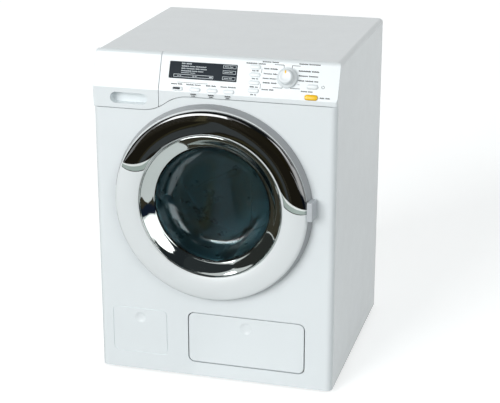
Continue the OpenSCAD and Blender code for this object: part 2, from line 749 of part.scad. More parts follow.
module door_shell() color("silver") {
  difference() {
    at_door() rotate_extrude($fn = 180) polygon([
      [shell_in_r, flange_z0], [door_r, flange_z0], [lip_r, lip_h - 0.5], [lip_r - 0.35, lip_h],
      [lip_r - 0.7, lip_h], [lip_r - 0.7, lip_h - 3.2], [lip_r - wall_t - 1.2, lip_h - 3.2],
      [door_r - wall_t - 1.6, flange_z1], [shell_in_r, flange_z1]]);
    // the back edge left of the pin is round about the pin, so that it clears the cabinet
    at_door() difference() {
      translate([-door_r - 1, -30, -1]) cube([door_r + 1 + hinge_x, 60, pin_y + 1]);
      translate([hinge_x, 0, pin_y]) rotate([90, 0, 0]) cylinder(h = 62, r = pin_y - clear, center = true);
    }
    // room for the arms of the hinge bracket
    at_door() translate([-door_r - 1, -hinge_half - clear, -1])
      cube([door_r + 1 + hinge_x + knuckle_r + clear + 0.3, 2*(hinge_half + clear), notch_top + 1]);
    at_door() for (a = door_screw_a) rotate(a) translate([door_screw_r, 0, -1]) cylinder(h = 5, r = 1.2);
    // seat of the grip
    at_door() translate([lip_r - 0.75, grip_y0, -1]) cube([10, grip_y1 - grip_y0, 20]);
  }
  // knuckle on the pin, with its web to the flange
  at_door() difference() {
    union() {
      translate([hinge_x, 0, pin_y]) rotate([90, 0, 0])
        cylinder(h = 2*knuckle_half, r = knuckle_r, center = true);
      translate([hinge_x, -knuckle_half, flange_z0])
        cube([6, 2*knuckle_half, pin_y - flange_z0 + knuckle_r]);
    }
    translate([hinge_x, 0, pin_y]) rotate([90, 0, 0]) cylinder(h = 30, r = pin_r + fit, center = true);
  }
}
knuckle_half = 4.6;
grip_y0 = -3.6;
grip_y1 = 10.9;
door_screw_r = rim_r;
door_screw_a = [30, 90, 150, 210, 270, 330];

module door_ring() color("white") at_door() rotate_extrude($fn = 180) polygon(concat(
  face_out(0),
  [[face_out_r, lip_h - 3.2], [lip_r - wall_t - 1.6, lip_h - 3.2]],
  ring_curve(face_out_r - 2.2, face_in_r + 2.2, -1.6, 8),
  [[face_in_r + 2.2, flange_z1], [face_in_r, flange_z1]]));

// The ring-shaped area of the mirror trim, with hollowed ends; d is the end's centre from
// the middle, up its height over the middle, e its radius.
module trim_area(d, up, e) intersection() {
  difference() {
    circle(ring_out_r - 0.1, $fn = 180);
    circle(rim_r + 0.3, $fn = 180);
  }
  union() {
    for (s = [-1, 1]) translate([s*d, up]) circle(e);
    translate([-door_r, up]) square([2*door_r, door_r]);
  }
}
trim_step = (door_proud - ring_crown)/2;
module trim_layer(z) rotate_extrude($fn = 180) polygon(concat(face_out(z), face_back(z - trim_step)));
module door_trim() color("#20242a") at_door() rotate(-trim_tilt) {
  intersection() {
    trim_layer(trim_step);
    linear_extrude(20) trim_area(59.8, 31.2, 18.9);
  }
  intersection() {
    trim_layer(2*trim_step);
    linear_extrude(20) trim_area(68.2, 38.4, 21.2);
  }
}

rim_z = ring_crown - crown_sag + 0.6;
module door_rim() color("silver") at_door() rotate_extrude($fn = 180) polygon([
  [glass_r, flange_z1], [glass_r + 1.6, flange_z1], [rim_r - 0.6, rim_z - 2.6], [rim_r - 0.4, flange_z1],
  [rim_r, flange_z1], [rim_r, rim_z], [rim_r - 0.5, rim_z + 0.3], [rim_r - 1.1, rim_z]]);

bowl_side_w = 15;        // width of the bowl's curved side
bowl_floor_r = glass_r - bowl_side_w;
// The bowl's side curves from radius r at height z down to its floor at the given depth.
function bowl_side(r, z, depth) = [for (i = [0:10]) let (a = 9*i)
  [bowl_floor_r + (r - bowl_floor_r)*cos(a), z - (z + depth)*sin(a)]];
function backwards(list) = [for (i = [len(list) - 1:-1:0]) list[i]];
bowl_in_r = glass_r - 1;
glass_z0 = flange_z0 + 0.3;
module door_glass() color("#20303a", 0.6) at_door() rotate_extrude($fn = 180) polygon(concat(
  bowl_side(bowl_in_r, flange_z1, bowl_d - glass_t),
  backwards(bowl_side(bowl_in_r + glass_t, glass_z0, bowl_d)),
  [[glass_flange_r, glass_z0], [glass_flange_r, flange_z1]]));
module glass_floor() color("#20303a", 0.6) at_door() translate([0, 0, -bowl_d])
  cylinder(h = glass_t, r = bowl_floor_r, $fn = 180);

back_ring_lap = 3;
back_ring_r = rim_r + back_ring_lap;
module door_back_ring() color("white") at_door() difference() {
  rotate_extrude($fn = 180) polygon([
    [glass_r + glass_t + 0.6, flange_z0], [back_ring_r, flange_z0], [back_ring_r, -1.2],
    [back_ring_r - 1, -2.2], [glass_r + glass_t + 3, -2.2]]);
  for (a = door_screw_a) rotate(a) translate([door_screw_r, 0, -3]) {
    cylinder(h = 6, r = 1.2);
    cylinder(h = 1.8, r = 2.2);
  }
}

module door_screws() color("silver") at_door() for (a = door_screw_a) rotate(a)
  translate([door_screw_r, 0, -1.2]) rotate([180, 0, 0]) screw(2, 0.9, 3.4, 1.15);

grip_out = 3;            // the grip stands this far out of the door's edge
grip_x1 = door_r + grip_out;
tongue_d = 11;          // reach of the latch tongue behind the cabinet's front
module door_grip() color("lightgray") at_door() {
  difference() {
    translate([lip_r - 0.7, grip_y0 + 0.1, flange_z0])
      cube([grip_x1 - lip_r + 0.7, grip_y1 - grip_y0 - 0.2, lip_h - flange_z0]);
    // the outer face leans with the door's wall
    translate([grip_x1, grip_y0 - 1, 0]) rotate([0, -8, 0]) cube([5, grip_y1 - grip_y0 + 2, 20]);
  }
  // latch tongue, under the block
  translate([latch_x - tongue_t/2, latch_z - latch_half, -tongue_d]) difference() {
    cube([tongue_t, 2*latch_half, tongue_d + flange_z0 + 0.5]);
    translate([-1, 2, 2.5]) cube([tongue_t + 2, 2*latch_half - 4, 3.5]);
  }
}

arm_l = hinge_half - knuckle_half - 0.25;
plate_side = 4.1;
plate_x = -body_w/2 + wall + plate_side;
plate_half = 14;
plate_t = 2;
module hinge_bracket() color("silver") at_door() difference() {
  union() {
    translate([plate_x, -plate_half, -wall - plate_t])
      cube([hinge_x + arm_w/2 - plate_x, 2*plate_half, plate_t]);
    for (y = [-hinge_half, hinge_half - arm_l]) {
      translate([hinge_x, y, pin_y]) rotate([-90, 0, 0]) cylinder(h = arm_l, r = knuckle_r - 0.3);
      translate([hinge_x - arm_w/2, y, -wall - 1]) cube([arm_w, arm_l, pin_y + wall + 1]);
    }
  }
  translate([hinge_x, 0, pin_y]) rotate([90, 0, 0]) cylinder(h = 40, r = pin_r, center = true);
}

module hinge_pin() color("gray") at_door() translate([hinge_x, 0, pin_y]) rotate([90, 0, 0])
  cylinder(h = 2*hinge_half, r = pin_r, center = true);

keeper_d = 13;
keeper_w = 8;
module latch_keeper() color("gainsboro") at_door() translate([0, 0, -wall]) difference() {
  translate([latch_x - 3.2, latch_z - latch_half - 3.5, -keeper_d]) cube([keeper_w, 2*latch_half + 7, keeper_d]);
  translate([latch_x - tongue_t/2 - 2*clear, latch_z - latch_half - clear, -12])
    cube([tongue_t + 6*clear, 2*latch_half + 2*clear, 14]);
}

// ---------- drum and tub ----------

drum_y0 = 11;
bush_flange_t = 0.8;
bush_boss = 4;
tub_back_t = 2.5;
tub_y1 = drum_y0 + drum_l + clear + bush_flange_t + bush_boss + tub_back_t;
gasket_lip = 7.5;
gasket_r = port_r - gasket_lip;
module door_gasket() color("darkgray") at_axis(wall) rotate_extrude($fn = 120) polygon([
  [port_r - 0.8, -1.2], [port_r - 0.1, -1.2], [port_r - 0.1, 1.2], [tub_r - tub_t, 1.2],
  [tub_r - tub_t, 3.4], [gasket_r + 2, 5.6], [gasket_r, 5.6], [gasket_r, 4.6], [port_r - 0.8, 1.6]]);

idler_d = gear_m*(drum_teeth + idler_teeth)/2;
pinion_d = gear_m*(wheel_teeth + pinion_teeth)/2;
idler_a = -50;
// The motor lies to the side of the idler and low, but over the battery box.
motor_gap = 7.7;
motor_run = 16.9;
motor_drop = door_z + idler_d*sin(idler_a) - bay_z - bay_h - motor_gap - motor_r;
pinion_a = -atan2(motor_drop, motor_run);
idler_p = idler_d*[cos(idler_a), sin(idler_a)];
pinion_p = idler_p + pinion_d*[cos(pinion_a), sin(pinion_a)];
case_t = 1.8;
case_drum_r = gear_m*drum_teeth/2 + 4;
case_wheel_r = gear_m*wheel_teeth/2 + 4;
case_pinion_r = motor_r + 2;
// At a place on the drive's back plane: x across, y up, from the drum's axis.
module drive(p, y) translate([p.x, front_y + y, door_z + p.y]) rotate([-90, 0, 0]) children();
module case_outline(i) {
  circle(case_drum_r - i);
  translate([idler_p.x, -idler_p.y]) circle(case_wheel_r - i);
  translate([pinion_p.x, -pinion_p.y]) circle(case_pinion_r - i);
}

bush_r = 5;
module tub() color("whitesmoke") {
  difference() {
    union() {
      at_axis(wall) cylinder(h = tub_y1 - wall, r = tub_r, $fn = 120);
      at_axis(wall) for (a = tub_ear_a) rotate(-a) {
        translate([tub_hole_r, 0, 0]) cylinder(h = ear_t, r = ear_r);
        translate([tub_r - 1, -ear_r, 0]) cube([tub_hole_r - tub_r + 1, 2*ear_r, ear_t]);
      }
      at_axis(tub_y1 - tub_back_t) linear_extrude(tub_back_t) case_outline(0);
      at_axis(tub_y1 - tub_back_t - bush_boss) cylinder(h = bush_boss + 1, r = bush_r + 3);
      hose_line() translate([0, 0, tub_r - 1]) cylinder(h = 10, r = spigot_r);
      translate([drain_x, front_y + drain_y, door_z - tub_r - 8]) cylinder(h = 14, r = spigot_r);
    }
    at_axis(wall - 1) cylinder(h = tub_y1 - wall - tub_back_t + 1, r = tub_r - tub_t, $fn = 120);
    at_axis(0) cylinder(h = tub_y1 + 2, r = bush_r);
    hose_line() translate([0, 0, tub_r - 6]) cylinder(h = 20, r = hose_bore_r);
    translate([drain_x, front_y + drain_y, door_z - tub_r - 10]) cylinder(h = 24, r = hose_bore_r);
    at_axis(wall - 1) for (a = tub_ear_a) rotate(-a) translate([tub_hole_r, 0, 0])
      cylinder(h = ear_t + 2, r = screw_r);
    drive(idler_p, tub_y1 - tub_back_t - 1) cylinder(h = tub_back_t + 2, r = idler_pin_r);
  }
  difference() {
    at_axis(tub_y1 - tub_back_t - bush_boss) cylinder(h = bush_boss + 1, r = bush_r + 3);
    at_axis(tub_y1 - tub_back_t - bush_boss - 1) cylinder(h = bush_boss + 3, r = bush_r);
  }
}
idler_pin_r = 1.5;
drain_x = 0;
drain_y = 60;

module tub_screws() color("silver") at_axis(wall) for (a = tub_ear_a) rotate(-a)
  translate([tub_hole_r, 0, ear_t]) screw(2.8, 1, 4.6, screw_r - 0.02);

module shaft_bush() color("tan") at_axis(tub_y1 - tub_back_t - bush_boss) difference() {
  union() {
    cylinder(h = tub_back_t + bush_boss, r = bush_r);
    translate([0, 0, -bush_flange_t]) cylinder(h = bush_flange_t, r = bush_r + 1.4);
  }
  translate([0, 0, -2]) cylinder(h = tub_back_t + bush_boss + 4, r = shaft_r + fit);
}

drum_back_t = 2;
drum_corner_r = 4;
drum_corner_z = 3.4;
front_l = 6;            // length of the drum's front piece
boss_h = 6;
// The drum's front with its rolled mouth, its perforated wall and its pressed back
module drum_front() color("lightgray") at_axis(drum_y0) rotate_extrude($fn = 120) polygon(concat(
  [[mouth_r, 0], [mouth_r + 1.2, -0.6]],
  arc([drum_r - drum_corner_r, drum_corner_z], drum_corner_r, -90, 0, 6),
  [[drum_r, front_l], [drum_r - drum_t, front_l]],
  arc([drum_r - drum_corner_r, drum_corner_z], drum_corner_r - drum_t, 0, -90, 6),
  [[mouth_r, drum_t]]));
module drum() color("lightgray") at_axis(drum_y0) difference() {
  translate([0, 0, front_l]) cylinder(h = drum_l - drum_back_t - front_l, r = drum_r, $fn = 120);
  translate([0, 0, front_l - 1]) cylinder(h = drum_l, r = drum_r - drum_t, $fn = 120);
  for (i = [0:hole_rows - 1], a = [0:holes_round - 1])
    translate([0, 0, 18 + i*(drum_l - 36)/(hole_rows - 1)])
      rotate((a + (i % 2)/2)*360/holes_round) rotate([0, 90, 0])
        translate([0, 0, drum_r - 4]) cylinder(h = 6, r = hole_r, $fn = 24);
}
module drum_back() color("lightgray") at_axis(drum_y0 + drum_l) difference() {
  union() {
    translate([0, 0, -drum_back_t]) cylinder(h = drum_back_t, r = drum_r, $fn = 120);
    translate([0, 0, -boss_h]) cylinder(h = boss_h, r = shaft_r + 4);
    for (a = [30:60:359]) rotate(a) translate([shaft_r + 2, -2, -drum_back_t - 1.2])
      cube([drum_r - shaft_r - 8, 4, 1.3]);
  }
  translate([0, 0, -boss_h - 1]) cylinder(h = boss_h + 2, r = shaft_r);
}

module drum_lifters() color("lightgray") at_axis(drum_y0) intersection() {
  for (a = [90:120:359]) rotate(a) translate([drum_r - drum_t - lifter_h, 0, 8]) {
    linear_extrude(drum_l - 20) polygon(concat(
      arc([2.6, 0], 2.6, 110, 250, 6), [[lifter_h + 1, -6.5], [lifter_h + 1, 6.5]]));
  }
  cylinder(h = drum_l, r = drum_r - drum_t, $fn = 120);
}

gear_y = tub_y1 + 1.5;
wheel_y = gear_y + gear_w + 1;
cover_y = wheel_y + gear_w + 1.5;
module drum_shaft() color("silver") at_axis(drum_y0 + drum_l - 5)
  cylinder(h = cover_y + 2 - drum_y0 - drum_l + 5, r = shaft_r);

// Outline of a spur gear with n teeth; a tooth stands at angle p.
function inv_deg(t) = t*180/PI - atan(t);
function roll_at(rb, r) = sqrt(max((r/rb)*(r/rb) - 1, 0));
function tooth(n, m, p, k) =
  let (r = m*n/2, rb = r*cos(20), ra = r + 0.8*m, rf = r - 1.05*m, rs = max(rb, rf + 0.15*m),
    half = 90/n - 0.55 + inv_deg(tan(20)),
    q = [for (i = [0:k]) let (x = rs + (ra - rs)*i/k) [x, half - inv_deg(roll_at(rb, x))]])
  concat([[rf, p - half*1.02]], [for (u = q) [u[0], p - u[1]]],
    [for (i = [k:-1:0]) [q[i][0], p + q[i][1]]], [[rf, p + half*1.02]]);
function gear_points(n, m, p) =
  [for (i = [0:n - 1]) for (u = tooth(n, m, p + i*360/n, 2)) u[0]*[cos(u[1]), sin(u[1])]];
module gear(n, m, p, w, bore) linear_extrude(w) difference() {
  polygon(gear_points(n, m, p));
  circle(bore, $fn = 32);
}

module drum_gear() color("white") drive([0, 0], gear_y) difference() {
  union() {
    gear(drum_teeth, gear_m, -idler_a, gear_w, shaft_r);
    translate([0, 0, gear_w]) difference() {
      cylinder(h = gear_w - 1, r = shaft_r + 3);
      translate([0, 0, -1]) cylinder(h = gear_w + 2, r = shaft_r);
    }
  }
  for (a = [0:60:359]) rotate(a) translate([gear_m*drum_teeth/4 + 1, 0, -1])
    cylinder(h = gear_w + 2, r = 5.5, $fn = 48);
}

module idler_gear() color("white") {
  drive(idler_p, gear_y)
    gear(idler_teeth, gear_m, 180 - idler_a + 180/idler_teeth, gear_w + 1, idler_pin_r + fit);
  drive(idler_p, wheel_y) gear(wheel_teeth, gear_m, -pinion_a, gear_w, idler_pin_r + fit);
}

module idler_pin() color("silver") drive(idler_p, tub_y1 - tub_back_t)
  cylinder(h = cover_y + case_t - tub_y1 + tub_back_t, r = idler_pin_r);

motor_shaft_r = 1;
module motor_pinion() color("goldenrod") drive(pinion_p, wheel_y)
  gear(pinion_teeth, gear_m, 180 - pinion_a + 180/pinion_teeth, gear_w, motor_shaft_r);
module motor_shaft() color("silver") drive(pinion_p, wheel_y - 1)
  cylinder(h = cover_y + case_t + motor_l - wheel_y - 2, r = motor_shaft_r);

motor_nose_r = 3;
module gear_cover() color("gainsboro") difference() {
  at_axis(tub_y1) linear_extrude(cover_y + case_t - tub_y1) case_outline(0);
  at_axis(tub_y1 - 1) linear_extrude(cover_y - tub_y1 + 1) case_outline(case_t);
  drive([0, 0], cover_y - 1) cylinder(h = case_t + 2, r = shaft_r + fit);
  drive(idler_p, cover_y - 1) cylinder(h = case_t + 2, r = idler_pin_r);
  drive(pinion_p, cover_y - 1) cylinder(h = case_t + 2, r = motor_nose_r + 0.2);
}

module motor() color("silver") drive(pinion_p, cover_y + case_t) difference() {
  union() {
    cylinder(h = motor_l - 3, r = motor_r);
    translate([0, 0, motor_l - 3]) cylinder(h = 3, r = motor_r - 1.5);
    translate([0, 0, -case_t]) cylinder(h = case_t + 1, r = motor_nose_r);
  }
  translate([0, 0, -case_t - 1]) cylinder(h = motor_l + case_t, r = motor_shaft_r + fit);
}

// ---------- water tank ----------

module drain_spout() color("dimgray") translate([drain_x, front_y + drain_y, tank_top + 3]) difference() {
  cylinder(h = door_z - tub_r - tank_top - 4, r = hose_r);
  translate([0, 0, -1]) cylinder(h = 60, r = spigot_r);
}

tank_front_t = wall;
tank_bottom = tank_face_z - tank_h/2 + 1.6;
tank_top = tank_face_z + tank_h/2 - 3;
tank_body_w = tank_w - 7;
runner_h = tank_bottom - clear - base_top;
tank_r = 4.4;
tank_dimple_up = 11.7;
module tank_front() color("white") difference() {
  along_y(front_y, front_y + tank_front_t) translate([tank_x, tank_face_z]) rounded(tank_w, tank_h, tank_r);
  dimple(tank_x, tank_face_z + tank_dimple_up);
}

module water_tank() color("gainsboro") translate([tank_x, front_y + tank_front_t, 0]) difference() {
  union() {
    translate([-tank_body_w/2, 0, tank_bottom])
      cube([tank_body_w, tank_d - tank_front_t, tank_top - tank_bottom]);
    for (s = [-1, 1]) translate([s*(tank_body_w/2 + 0.6) - 0.7, 2, tank_top - 2])
      cube([1.4, tank_d - tank_front_t - 2, 2]);
  }
  translate([-tank_body_w/2 + tank_wall, tank_wall, tank_bottom + tank_wall])
    cube([tank_body_w - 2*tank_wall, tank_d - tank_front_t - 2*tank_wall, tank_top]);
}

module tank_runners() color("gainsboro") for (s = [-1, 1]) {
  x = tank_x + s*(tank_body_w/2 + 1.3 + clear);
  translate([min(x, x + s*2), inner_y + 4, base_top]) cube([2, tank_d + 2, tank_bottom + 14 - base_top]);
  translate([min(x - s*6, x + s*2), inner_y + 4, base_top]) cube([8, tank_d + 2, runner_h]);
}

// ---------- batteries ----------

cell_pitch = 2*cell_r + 1;
module cell_places() for (i = [0:cells - 1])
  translate([(i - (cells - 1)/2)*cell_pitch, bay_y + bay_wall + cell_r + 0.1, bay_z + 3]) children();

module battery_box() color("whitesmoke") difference() {
  translate([-bay_w/2, bay_y - bay_wall, bay_z]) cube([bay_w, bay_d + bay_wall, bay_h]);
  translate([-bay_w/2 + bay_wall, bay_y, bay_z + bay_wall])
    cube([bay_w - 2*bay_wall, bay_d + 5, bay_h - 2*bay_wall]);
}

module batteries() color("steelblue") cell_places() {
  cylinder(h = cell_l - 1.2, r = cell_r - 0.2);
  translate([0, 0, cell_l - 1.2]) cylinder(h = 1.2, r = 3.2);
}

module battery_contacts() color("silver") cell_places() {
  translate([0, 0, -1.4]) cylinder(h = 0.4, r = 5);
  translate([0, 0, -1.0]) cylinder(h = 1.0, r1 = 5, r2 = 3);
  translate([-5, -5, cell_l]) cube([10, 10, 0.4]);
  translate([-4, -3, cell_l + 0.4]) cube([8, 6, bay_h - 3 - bay_wall - cell_l - 0.4]);
}

module battery_cover() color("whitesmoke") difference() {
  along_y(rear_y - rear_inset - 1.2, rear_y - rear_inset) translate([0, bay_z + bay_h/2])
    rounded(bay_w + 2*cover_lip, bay_h + 2*cover_lip, 3);
  translate([0, 0, cover_screw_z]) along_y(rear_y - 5, rear_y) circle(cover_screw_r + 0.1);
  // grip grooves
  for (i = [0:4]) translate([-20, rear_y - rear_inset - 0.5, bay_z + 8 + 2.4*i]) cube([40, 1, 1.1]);
}

module cover_screw() color("silver") translate([0, rear_y - rear_inset, cover_screw_z])
  rotate([-90, 0, 0]) screw(2, 0.9, 3.2, cover_screw_r);

cabinet();
base_plate();
rear_panel();
feet();
casing_screws();
control_panel();
display_window();
option_buttons();
circuit_board();
rotary_switch();
button_switches();
speaker();
program_knob();
knob_mark();
knob_spindle();
start_button();
power_button();
dispenser_housing();
drawer_front();
drawer_tray();
tray_divider();
siphon_cap();
fill_hose();
hinge_bracket();
hinge_pin();
latch_keeper();
door_shell();
door_ring();
door_trim();
door_rim();
door_glass();
glass_floor();
door_back_ring();
door_screws();
door_grip();
door_gasket();
tub();
tub_screws();
shaft_bush();
drum();
drum_front();
drum_back();
drum_lifters();
drum_shaft();
drum_gear();
idler_gear();
idler_pin();
motor_pinion();
motor_shaft();
motor();
gear_cover();
drain_spout();
tank_runners();
tank_front();
water_tank();
battery_box();
batteries();
battery_contacts();
battery_cover();
cover_screw();
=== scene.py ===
"""Looks of a toy front-loading washing machine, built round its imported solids.

Lengths in the classes are millimetres; every mesh is made in metres, in the frame that the
solids stand in: +Z up, the door faces -Y, the floor is Z = 0.
"""
import sys
import logging
import math
from dataclasses import dataclass, field, replace
from enum import Enum
from typing import Callable, Iterable, Sequence

import bmesh
import bpy
from mathutils import Matrix, Vector


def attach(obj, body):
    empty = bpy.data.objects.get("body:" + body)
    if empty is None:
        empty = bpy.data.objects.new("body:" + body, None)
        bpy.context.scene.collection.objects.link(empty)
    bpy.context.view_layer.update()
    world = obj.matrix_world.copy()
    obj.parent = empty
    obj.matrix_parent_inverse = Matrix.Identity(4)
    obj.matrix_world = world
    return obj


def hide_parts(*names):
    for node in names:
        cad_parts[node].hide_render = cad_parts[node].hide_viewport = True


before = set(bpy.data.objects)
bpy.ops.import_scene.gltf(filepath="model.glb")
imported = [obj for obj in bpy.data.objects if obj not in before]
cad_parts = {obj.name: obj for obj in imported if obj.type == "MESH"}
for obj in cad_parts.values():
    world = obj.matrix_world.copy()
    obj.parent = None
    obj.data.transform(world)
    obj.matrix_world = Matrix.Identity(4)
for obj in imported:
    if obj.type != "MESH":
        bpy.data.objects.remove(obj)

LOG = logging.getLogger("washing_machine")
MM = 0.001
Point2 = tuple[float, float]
Point3 = tuple[float, float, float]
Circle = tuple[float, float, float]  # across, up and radius
Box = tuple[float, float, float, float]
Thing = bpy.types.Object
Shape = bmesh.types.BMesh
Tree = bpy.types.NodeTree
Socket = bpy.types.NodeSocket
UPRIGHT = Vector((0, 0, 1))
BACKWARDS = Vector((0, 1, 0))
SMOOTH = 32.0  # degrees: edges above this stay sharp
ROUNDED = 40.0  # the same for the knob and the mirror trim
KEY_EDGE = 50.0  # the same for keys and buttons
CREASE = 20.0  # the same for pieces with a fold between the upright and the leaning front
LEANING = ("control_panel", "drawer_front")  # the solids that have that fold
BLUNT = 35.0  # degrees: edges below this aren't rounded
FLAT = 0.6  # degrees: faces that meet below this are one face
MERGE = 2e-6  # metres: corners nearer than this are one corner
SEAM = 5e-6  # metres: the same where bands of the mirror trim meet
TINY = 1e-7  # metres: shorter than any edge that counts


# ---- layout


@dataclass(frozen=True)
class Layout:
    """Places that several sub-assemblies share, in millimetres.

    Attributes:
        front_y: the upright front.
        back_y: where the screws of the back sit.
        crease_z: height of the fold between the upright and the leaning front.
        lean: angle of the leaning front, from the upright.
        door_z: height of the door's middle.
    """

    front_y: float = -82.0
    back_y: float = 92.8
    crease_z: float = 230.0
    lean: float = math.atan2(10.4, 26.0)
    door_z: float = 146.1

    def panel_matrix(self, across: float, up: float, out: float = 0.0) -> Matrix:
        """Where something lies on the leaning front.

        Args:
            across: distance to the right of the machine's middle.
            up: distance up the slope from the crease.
            out: distance in front of the panel's face.

        Returns:
            Local x across, y up the slope and z out of the slope, in metres.
        """
        sine, cosine = math.sin(self.lean), math.cos(self.lean)
        place = Vector((
            across,
            self.front_y + up * sine - out * cosine,
            self.crease_z + up * cosine + out * sine,
        ))
        turn = Matrix.Rotation(math.pi / 2 - self.lean, 4, "X")
        return Matrix.Translation(place * MM) @ turn

    def door_matrix(self) -> Matrix:
        """Local z out of the upright front, about the door's middle, in metres."""
        place = Vector((0.0, self.front_y, self.door_z)) * MM
        return Matrix.Translation(place) @ Matrix.Rotation(math.pi / 2, 4, "X")


LAYOUT = Layout()


class Body(str, Enum):
    """The moving bodies of the machine."""

    HOUSING = "housing"
    DOOR = "door"
    DRUM = "drum"
    IDLER = "idler"
    PINION = "pinion"
    DETERGENT = "detergent_drawer"
    TANK = "tank_drawer"
    KNOB = "knob"
    START = "start_key"
    POWER = "power_key"


# ---- nodes


def linear(code: str, alpha: float = 1.0) -> tuple[float, float, float, float]:
    """Turn an sRGB hex colour into a linear one.

    Args:
        code: six hex digits, with or without a leading #.
        alpha: the fourth value of the result.

    Returns:
        Linear red, green, blue, and alpha.
    """
    digits = code.lstrip("#")
    values = [int(digits[i:i + 2], 16) / 255 for i in (0, 2, 4)]
    red, green, blue = (
        v / 12.92 if v <= 0.04045 else ((v + 0.055) / 1.055) ** 2.4 for v in values
    )
    return red, green, blue, alpha


def add_node(
    tree: Tree, kind: str, settings: dict | None = None, links: dict | None = None
) -> bpy.types.Node:
    """Add one node to a tree.

    Args:
        tree: the tree that gets the node.
        kind: the node's type name.
        settings: values by the name of a property, or by the name or number of an input.
        links: sockets that feed an input, by its name or number.

    Returns:
        The new node.
    """
    node = tree.nodes.new(kind)
    for key, value in (settings or {}).items():
        if isinstance(key, str) and hasattr(node, key):
            setattr(node, key, value)
        else:
            node.inputs[key].default_value = value
    for key, socket in (links or {}).items():
        tree.links.new(socket, node.inputs[key])
    return node


def bare_tree(owner: bpy.types.Material | bpy.types.World) -> Tree:
    """Empty the node tree of a new material or world.

    Args:
        owner: the material or world.

    Returns:
        Its tree, without nodes.
    """
    owner.use_nodes = True
    owner.node_tree.nodes.clear()
    return owner.node_tree


# ---- finishes


DRIFT_STOPS = (0.3, 0.65)  # noise values of the darkest and of the full colour
SMEAR_SHARE = 0.6  # width of a smear as a share of the colour's drift
SMEAR_RANGE = (0.3, 0.7)  # noise values where hands have polished and dulled a piece most
WAVE_RADIANS = 20  # phase that a wave texture of scale 1 goes through in one unit


@dataclass(frozen=True)
class Finish:
    """A surface: its colour, gloss and the fine relief that its making leaves.

    Attributes:
        name: what the real surface is.
        slot: the record's material slot for it.
        colour: sRGB hex.
        roughness: microscopic roughness of the shader.
        mottle: share by which the colour drifts over the piece.
        drift_mm: width of that drift.
        grain_mm: width of the relief, coarser than real where that is too fine to show.
        grain_depth_mm: height of the relief.
        rub: share by which handling changes the roughness.
    """

    name: str
    slot: str
    colour: str
    roughness: float
    metallic: float = 0.0
    ior: float = 1.45
    coat: float = 0.0
    mottle: float = 0.03
    drift_mm: float = 38.0
    grain_mm: float = 1.4
    grain_depth_mm: float = 0.004
    rub: float = 0.15
    transmission: float = 0.0
    sheen: float = 0.0

    def colour_socket(self, tree: Tree, place: Socket) -> Socket:
        """The colour with its slow drift.

        Args:
            tree: the material's tree.
            place: coordinates in metres.

        Returns:
            A colour.
        """
        base = linear(self.colour)
        dark = tuple(c * (1 - self.mottle) for c in base[:3]) + (1.0,)
        drift = add_node(
            tree,
            "ShaderNodeTexNoise",
            {"Scale": 1 / (self.drift_mm * MM), "Detail": 3.0, "Roughness": 0.6},
            {"Vector": place},
        )
        ramp = add_node(tree, "ShaderNodeValToRGB", links={"Fac": drift.outputs["Fac"]})
        for stop, at, colour in zip(ramp.color_ramp.elements, DRIFT_STOPS, (dark, base)):
            stop.position = at
            stop.color = colour
        return ramp.outputs["Color"]

    def height_socket(self, tree: Tree, place: Socket) -> Socket:
        """The relief.

        Args:
            tree: the material's tree.
            place: coordinates in metres.

        Returns:
            A height from 0 to 1.
        """
        return add_node(
            tree,
            "ShaderNodeTexNoise",
            {"Scale": 1 / (self.grain_mm * MM), "Detail": 2.0, "Roughness": 0.5},
            {"Vector": place},
        ).outputs["Fac"]

    def rough_socket(self, tree: Tree, place: Socket) -> Socket:
        """The roughness, uneven where hands and cloths have passed.

        Args:
            tree: the material's tree.
            place: coordinates in metres.

        Returns:
            A roughness.
        """
        smears = add_node(
            tree,
            "ShaderNodeTexNoise",
            {"Scale": 1 / (SMEAR_SHARE * self.drift_mm * MM), "Detail": 5.0, "Roughness": 0.7},
            {"Vector": place},
        )
        return add_node(
            tree,
            "ShaderNodeMapRange",
            {
                "From Min": SMEAR_RANGE[0],
                "From Max": SMEAR_RANGE[1],
                "To Min": self.roughness * (1 - self.rub),
                "To Max": self.roughness * (1 + self.rub),
            },
            {"Value": smears.outputs["Fac"]},
        ).outputs["Result"]

    def material(self) -> bpy.types.Material:
        """The finish as a material, made once.

        Returns:
            The Blender material.
        """
        made = bpy.data.materials.get(self.name)
        if made:
            return made
        made = bpy.data.materials.new(self.name)
        tree = bare_tree(made)
        place = add_node(tree, "ShaderNodeTexCoord").outputs["Object"]
        bump = add_node(
            tree,
            "ShaderNodeBump",
            {"Strength": 1.0, "Distance": self.grain_depth_mm * MM},
            {"Height": self.height_socket(tree, place)},
        )
        shader = add_node(
            tree,
            "ShaderNodeBsdfPrincipled",
            {
                "Metallic": self.metallic,
                "IOR": self.ior,
                "Coat Weight": self.coat,
                "Coat Roughness": 0.06,
                "Transmission Weight": self.transmission,
                "Sheen Weight": self.sheen,
            },
            {
                "Base Color": self.colour_socket(tree, place),
                "Roughness": self.rough_socket(tree, place),
                "Normal": bump.outputs["Normal"],
            },
        )
        add_node(tree, "ShaderNodeOutputMaterial", links={"Surface": shader.outputs["BSDF"]})
        made.diffuse_color = linear(self.colour)
        return made


@dataclass(frozen=True)
class TurnedMetal(Finish):
    """Metal with fine rings or lines left by the tool.

    Attributes:
        line_mm: distance between the lines, coarser than real, so that they show.
    """

    line_mm: float = 0.25 * math.tau
    metallic: float = 1.0
    ior: float = 1.5

    def height_socket(self, tree: Tree, place: Socket) -> Socket:
        """Parallel tool lines across the length of the piece.

        Args:
            tree: the material's tree.
            place: coordinates in metres.

        Returns:
            A height from 0 to 1.
        """
        return add_node(
            tree,
            "ShaderNodeTexWave",
            {
                "bands_direction": "Y",
                "Scale": math.tau / (self.line_mm * MM * WAVE_RADIANS),
                "Distortion": 1.5,
                "Detail": 2.0,
            },
            {"Vector": place},
        ).outputs["Fac"]


